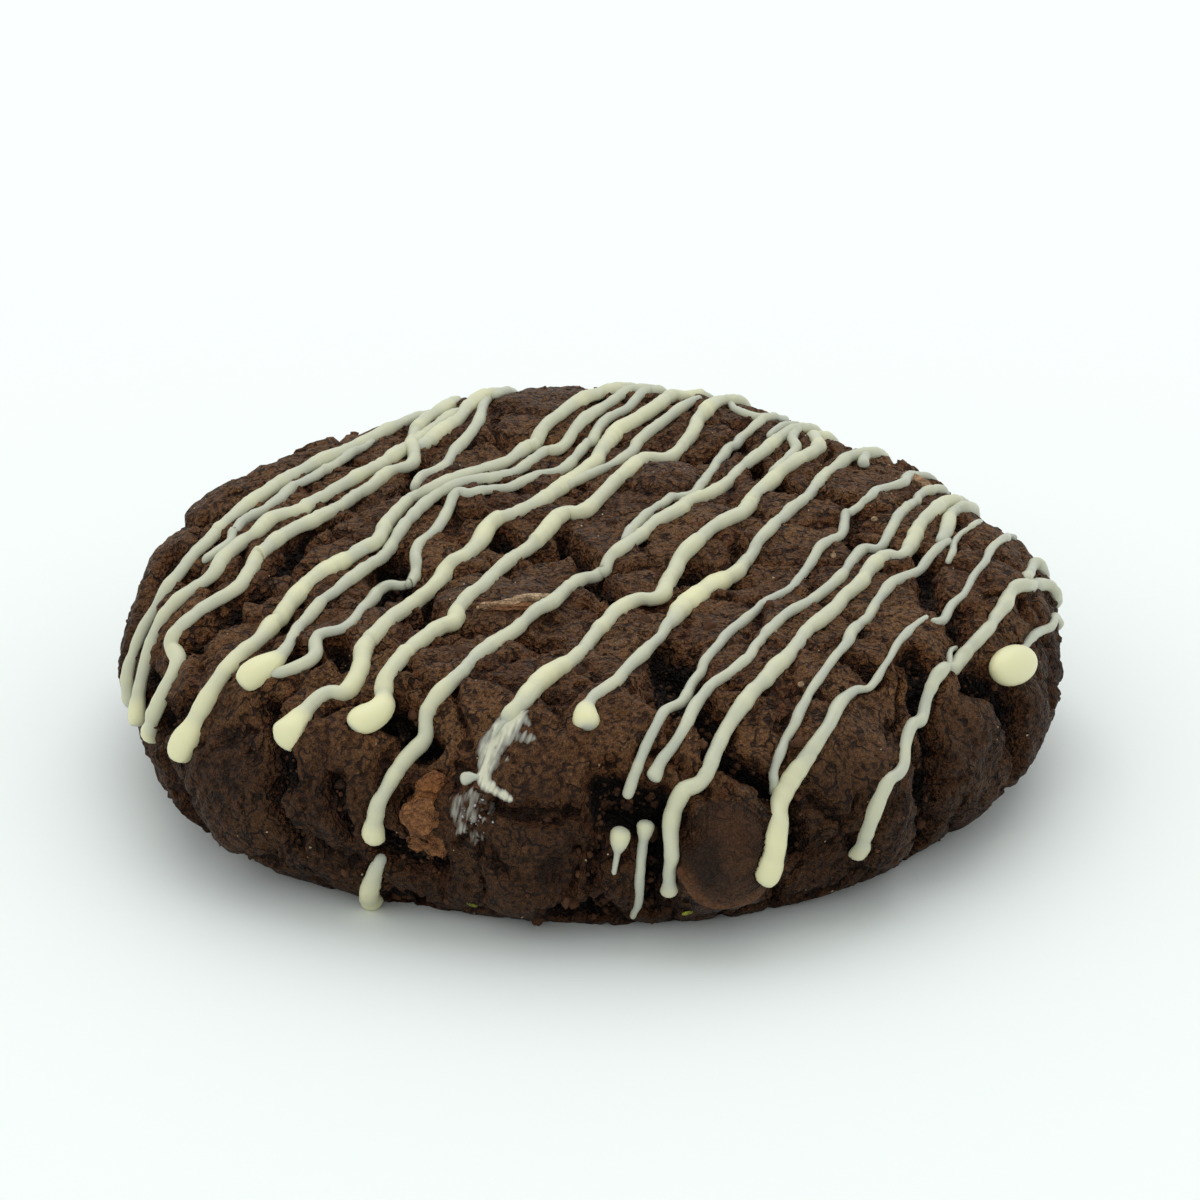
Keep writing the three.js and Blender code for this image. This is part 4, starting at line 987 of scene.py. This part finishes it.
def doughMaterial():
    material, tree, shader = newMaterial("bakedDough")
    look, place = doughLook, objectPlace(tree)
    grain = addGrain(tree, place, 1.0)
    crack, sheen, hollow = marked(tree, "crack"), marked(tree, "sheen"), marked(tree, "hollow")
    broad = noise(tree, place, look["broad"], 4.0)["Fac"]
    # paler patches at random; the same pale colour is used again below as painted highlight on grain tops
    base = mixed(tree, ranged(tree, broad, *look["lightAt"]), look["plate"], look["palePlateAndHighlight"])
    layers = (  # each colour laid over the last
        (times(tree, sheen, look["lumpShare"]), "lump"),
        (ranged(tree, crack, *look["rustAt"]), "rust"),
        # the reddish crumb colour of plate edges, which also serves as a painted highlight on the rises
        (ranged(tree, hollow, *look["redEdgeAndHighlightAt"]), "edge"),
        # painted shade: the crevice colour darkens the hollows
        (ranged(tree, hollow, *look["creviceShadeAt"]), "creviceShade"),
        # painted highlight: the pale plate colour on the tops of the grains
        (ranged(tree, grain["Height"], *look["grainHighlightAt"]), "palePlateAndHighlight"),
        # painted shade: the crevice colour low between the grains
        (ranged(tree, grain["Height"], *look["grainShadeAt"]), "creviceShade"),
        # painted shade: the crevice colour in the creases between grains
        (times(tree, grain["CreaseShade"], look["creaseShadeShare"]), "creviceShade"),
        # painted shade: near black deep in the cracks
        (ranged(tree, crack, *look["pitShadeAt"]), "pitShade"),
    )
    for share, colour in layers:
        base = mixed(tree, share, base, look[colour])
    apart = add(tree, "ShaderNodeSeparateXYZ")
    tree.links.new(place, apart.inputs[0])
    # painted shade: the lower sides darker, where less light falls than on the top
    low = ranged(tree, apart.outputs["Z"], *look["sideShadeHeights"])
    base = mixed(tree, low, base, mixed(tree, 1.0, base, look["sideShade"], "MULTIPLY"))
    surface(tree, shader, base, ranged(tree, sheen, 0.0, 1.0, *look["roughness"]), look["gloss"])
    bump(tree, grain["Height"], look["grain"], 1.0, shader)
    return material


drizzleLook = {
    "thin": (0.43, 0.445, 0.365), "thick": (0.72, 0.69, 0.42),   # greyer and darker where it is thin
    "halfWidths": (0.45, 1.4),                   # of a thin and of a thick line, in millimetres
    "cloud": 240.0, "cloudAt": (0.4, 0.75, 0.0, 0.25), "roughAt": (0.3, 0.7, 0.34, 0.46),
    "depth": 0.12, "depthReach": (0.0012, 0.001, 0.0006), "gloss": 0.45, "ripple": 0.0002,
}


def drizzleMaterial():
    material, tree, shader = newMaterial("paleDrizzle")
    look = drizzleLook
    cloud = noise(tree, objectPlace(tree), look["cloud"], 3.0)["Fac"]
    base = mixed(tree, ranged(tree, marked(tree, "thick"), *look["halfWidths"]), look["thin"], look["thick"])
    base = mixed(tree, ranged(tree, cloud, *look["cloudAt"]), base, look["thick"])
    surface(tree, shader, base, ranged(tree, cloud, *look["roughAt"]), look["gloss"])
    shader.inputs["Subsurface Weight"].default_value = look["depth"]
    shader.inputs["Subsurface Radius"].default_value = look["depthReach"]
    bump(tree, cloud, look["ripple"], 0.5, shader)
    return material


filmLook = {
    "bare": (0.055, 0.030, 0.019), "thin": (0.26, 0.255, 0.22), "full": (0.60, 0.585, 0.45),
    "thinAt": (-0.05, 0.42), "fullAt": (0.35, 0.9),   # cover where each colour begins and is complete
    "streak": 1400.0, "streakForm": (1.0, 0.4, 0.4), "streakShare": 0.6,
    "roughness": 0.55, "gloss": 0.3, "ripple": 0.0002,
}


def filmMaterial():  # white where it covers well, down to the dough's own colour where it is thin
    material, tree, shader = newMaterial("icingFilm")
    look = filmLook
    along = stretched(tree, objectPlace(tree), Scale=look["streakForm"])
    streak = noise(tree, along, look["streak"], 2.0)["Fac"]
    cover = worked(tree, "ADD", marked(tree, "cover"), centred(tree, streak, look["streakShare"]))
    base = mixed(tree, ranged(tree, cover, *look["thinAt"]), look["bare"], look["thin"])
    base = mixed(tree, ranged(tree, cover, *look["fullAt"]), base, look["full"])
    surface(tree, shader, base, look["roughness"], look["gloss"])
    bump(tree, streak, look["ripple"], 0.6, shader)
    return material


crumbLook = {"grain": 1.3, "lightAt": (0.35, 0.7, 0.0, 0.4), "roughness": 0.85, "gloss": 0.3,
             "ripple": 0.0002}


def crumbMaterial(name, dark, light):  # from dark to light by each crumb's tone
    material, tree, shader = newMaterial(name)
    look = crumbLook
    grain = addGrain(tree, objectPlace(tree), look["grain"])
    base = mixed(tree, marked(tree, "tone"), dark, light)
    base = mixed(tree, ranged(tree, grain["Tone"], *look["lightAt"]), base, light)
    surface(tree, shader, base, look["roughness"], look["gloss"])
    bump(tree, grain["Height"], look["ripple"], 0.8, shader)
    return material


chunkLook = {
    "fibre": 900.0, "fibreTurn": (0.3, 0.2, 0.5), "fibreForm": (0.35, 1.0, 1.0),
    "shade": (0.32, 0.27, 0.24), "shadeAt": (0.62, 0.35, 0.0, 0.75), "gloss": 0.3, "relief": 0.0010,
}


def chunkMaterial(name, dark, light, roughness):  # fibrous pieces, from dark to light by their tone
    material, tree, shader = newMaterial(name)
    look, place = chunkLook, objectPlace(tree)
    grain = addGrain(tree, place, 1.0)
    along = stretched(tree, place, Rotation=look["fibreTurn"], Scale=look["fibreForm"])
    fibre = noise(tree, along, look["fibre"], 3.0, 0.65, 0.6)["Fac"]
    base = mixed(tree, marked(tree, "tone"), dark, light)
    shade = ranged(tree, fibre, *look["shadeAt"])
    base = mixed(tree, shade, base, mixed(tree, 1.0, base, look["shade"], "MULTIPLY"))
    surface(tree, shader, base, roughness, look["gloss"])
    bump(tree, worked(tree, "ADD", fibre, grain["Height"]), look["relief"], 1.0, shader)
    return material


chocolateLook = {
    "dark": (0.020, 0.0075, 0.0028), "light": (0.062, 0.0235, 0.0080), "rim": (0.17, 0.066, 0.024),
    "blotch": 260.0, "blotchAt": (0.35, 0.65), "rimShare": 0.8, "grain": 0.8,
    "roughness": 0.5, "gloss": 0.18, "relief": 0.0013,
}


def chocolateMaterial():
    material, tree, shader = newMaterial("milkChocolate")
    look, place = chocolateLook, objectPlace(tree)
    grain = addGrain(tree, place, look["grain"])
    blotch = noise(tree, place, look["blotch"], 3.0)["Fac"]
    base = mixed(tree, ranged(tree, blotch, *look["blotchAt"]), look["dark"], look["light"])
    base = mixed(tree, times(tree, marked(tree, "tone"), look["rimShare"]), base, look["rim"])
    surface(tree, shader, base, look["roughness"], look["gloss"])
    bump(tree, grain["Height"], look["relief"], 1.0, shader)
    return material


nutColours = (0.29, 0.108, 0.029), (0.74, 0.52, 0.32)      # dark and light
fleckColours = (0.20, 0.25, 0.02), (0.55, 0.55, 0.06)

# The pieces, from the largest down
makeDough(doughMaterial())
drizzleFinish = drizzleMaterial()
makeDrizzle(drizzleFinish)
makeFilm(filmMaterial())
chunks("drizzle_drop", fullDrops, drizzleFinish, "thick")
makeChocolate(chocolateMaterial())
chunks("nut_pieces", nuts, chunkMaterial("toastedNut", *nutColours, 0.75))
chunks("green_flecks", flecks, chunkMaterial("greenFleck", *fleckColours, 0.6))

rng = np.random.default_rng(11)
crumbFinish = crumbMaterial("looseCrumb", crumb["dark"], crumb["light"])
for name, count, (least, most), splits in crumb["kinds"]:
    spots = scattered(rng, count, crackChance)
    sizes = least + (most - least) * rng.random(count) ** 2
    clear = clearance(spots)
    kept = clear > crumb["clear"]
    spots, sizes = spots[kept], np.minimum(sizes, clear)[kept]
    strewn(name, rng, spots, sizes, splits, crumb["rough"], crumb["sink"], crumbFinish)

speckFinish = crumbMaterial("sugarSpeck", speck["dark"], speck["light"])
spots = scattered(rng, speck["count"], lambda x, y: 0.5 + 0 * x)
sizes = rng.uniform(*speck["size"], speck["count"])
strewn("sugar_specks", rng, spots, sizes, 1, 0.1, 0.3, speckFinish)

bloomFinish = crumbMaterial("icingBloom", bloom["dark"], bloom["light"])
spots = rng.normal(bloom["middle"], bloom["spread"], (bloom["count"], 2))
sizes = rng.uniform(*bloom["size"], bloom["count"])
strewn("icing_bloom", rng, spots, sizes, 1, 0.1, 0.3, bloomFinish)


# Stage: a pale floor, soft light from above, and the camera
stage = {
    "floorHalf": 6.0, "floorTone": (0.84, 0.87, 0.858), "floorRoughness": 0.7,
    "sky": (0.96, 1.0, 0.985), "skyStrength": 0.9,
    "lamps": (("overhead", 1.1, 3.8, (0.05, 0.4, 1.0)),        # name, size, watts and place
              ("frontFill", 0.8, 1.2, (-0.7, -0.8, 0.7))),
    "elevation": 24.0, "distance": 0.5, "aim": (0, 0, 0.010), "lens": 142.2, "shift": (0.0096, 0.0438),
}


def makeStage():
    half = stage["floorHalf"]
    points = np.array([[-half, -half, 0], [half, -half, 0], [half, half, 0], [-half, half, 0]])
    floor = newMesh("floor", points, np.array([[0, 1, 2, 3]]))
    material, tree, shader = newMaterial("paleFloor")
    shader.inputs["Base Color"].default_value = (*stage["floorTone"], 1)
    shader.inputs["Roughness"].default_value = stage["floorRoughness"]
    floor.data.materials.append(material)
    world = bpy.data.worlds.new("studio")
    world.use_nodes = True
    sky = world.node_tree.nodes["Background"]
    sky.inputs["Color"].default_value = (*stage["sky"], 1)
    sky.inputs["Strength"].default_value = stage["skyStrength"]
    bpy.context.scene.world = world
    for name, size, power, place in stage["lamps"]:
        light = bpy.data.lights.new(name, "AREA")
        light.shape, light.size, light.energy = "SQUARE", size, power
        lamp = bpy.data.objects.new(name, light)
        lamp.location = place
        lamp.rotation_euler = (-Vector(place)).to_track_quat("-Z", "Y").to_euler()
        bpy.context.scene.collection.objects.link(lamp)
    lens = bpy.data.cameras.new("camera")
    lens.lens, lens.sensor_width = stage["lens"], 36.0
    lens.shift_x, lens.shift_y = stage["shift"]
    lens.clip_start, lens.clip_end = 0.01, 50
    camera = bpy.data.objects.new("camera", lens)
    tilt = math.radians(stage["elevation"])
    back = Vector((0, -math.cos(tilt), math.sin(tilt)))
    camera.location = Vector(stage["aim"]) - Vector((*roundForm["middle"], 0)) * mm + stage["distance"] * back
    camera.rotation_euler = (math.radians(90) - tilt, 0, 0)
    bpy.context.scene.collection.objects.link(camera)
    bpy.context.scene.camera = camera
    bpy.context.scene.view_settings.view_transform = "Standard"
    print("stage ready")


makeStage()
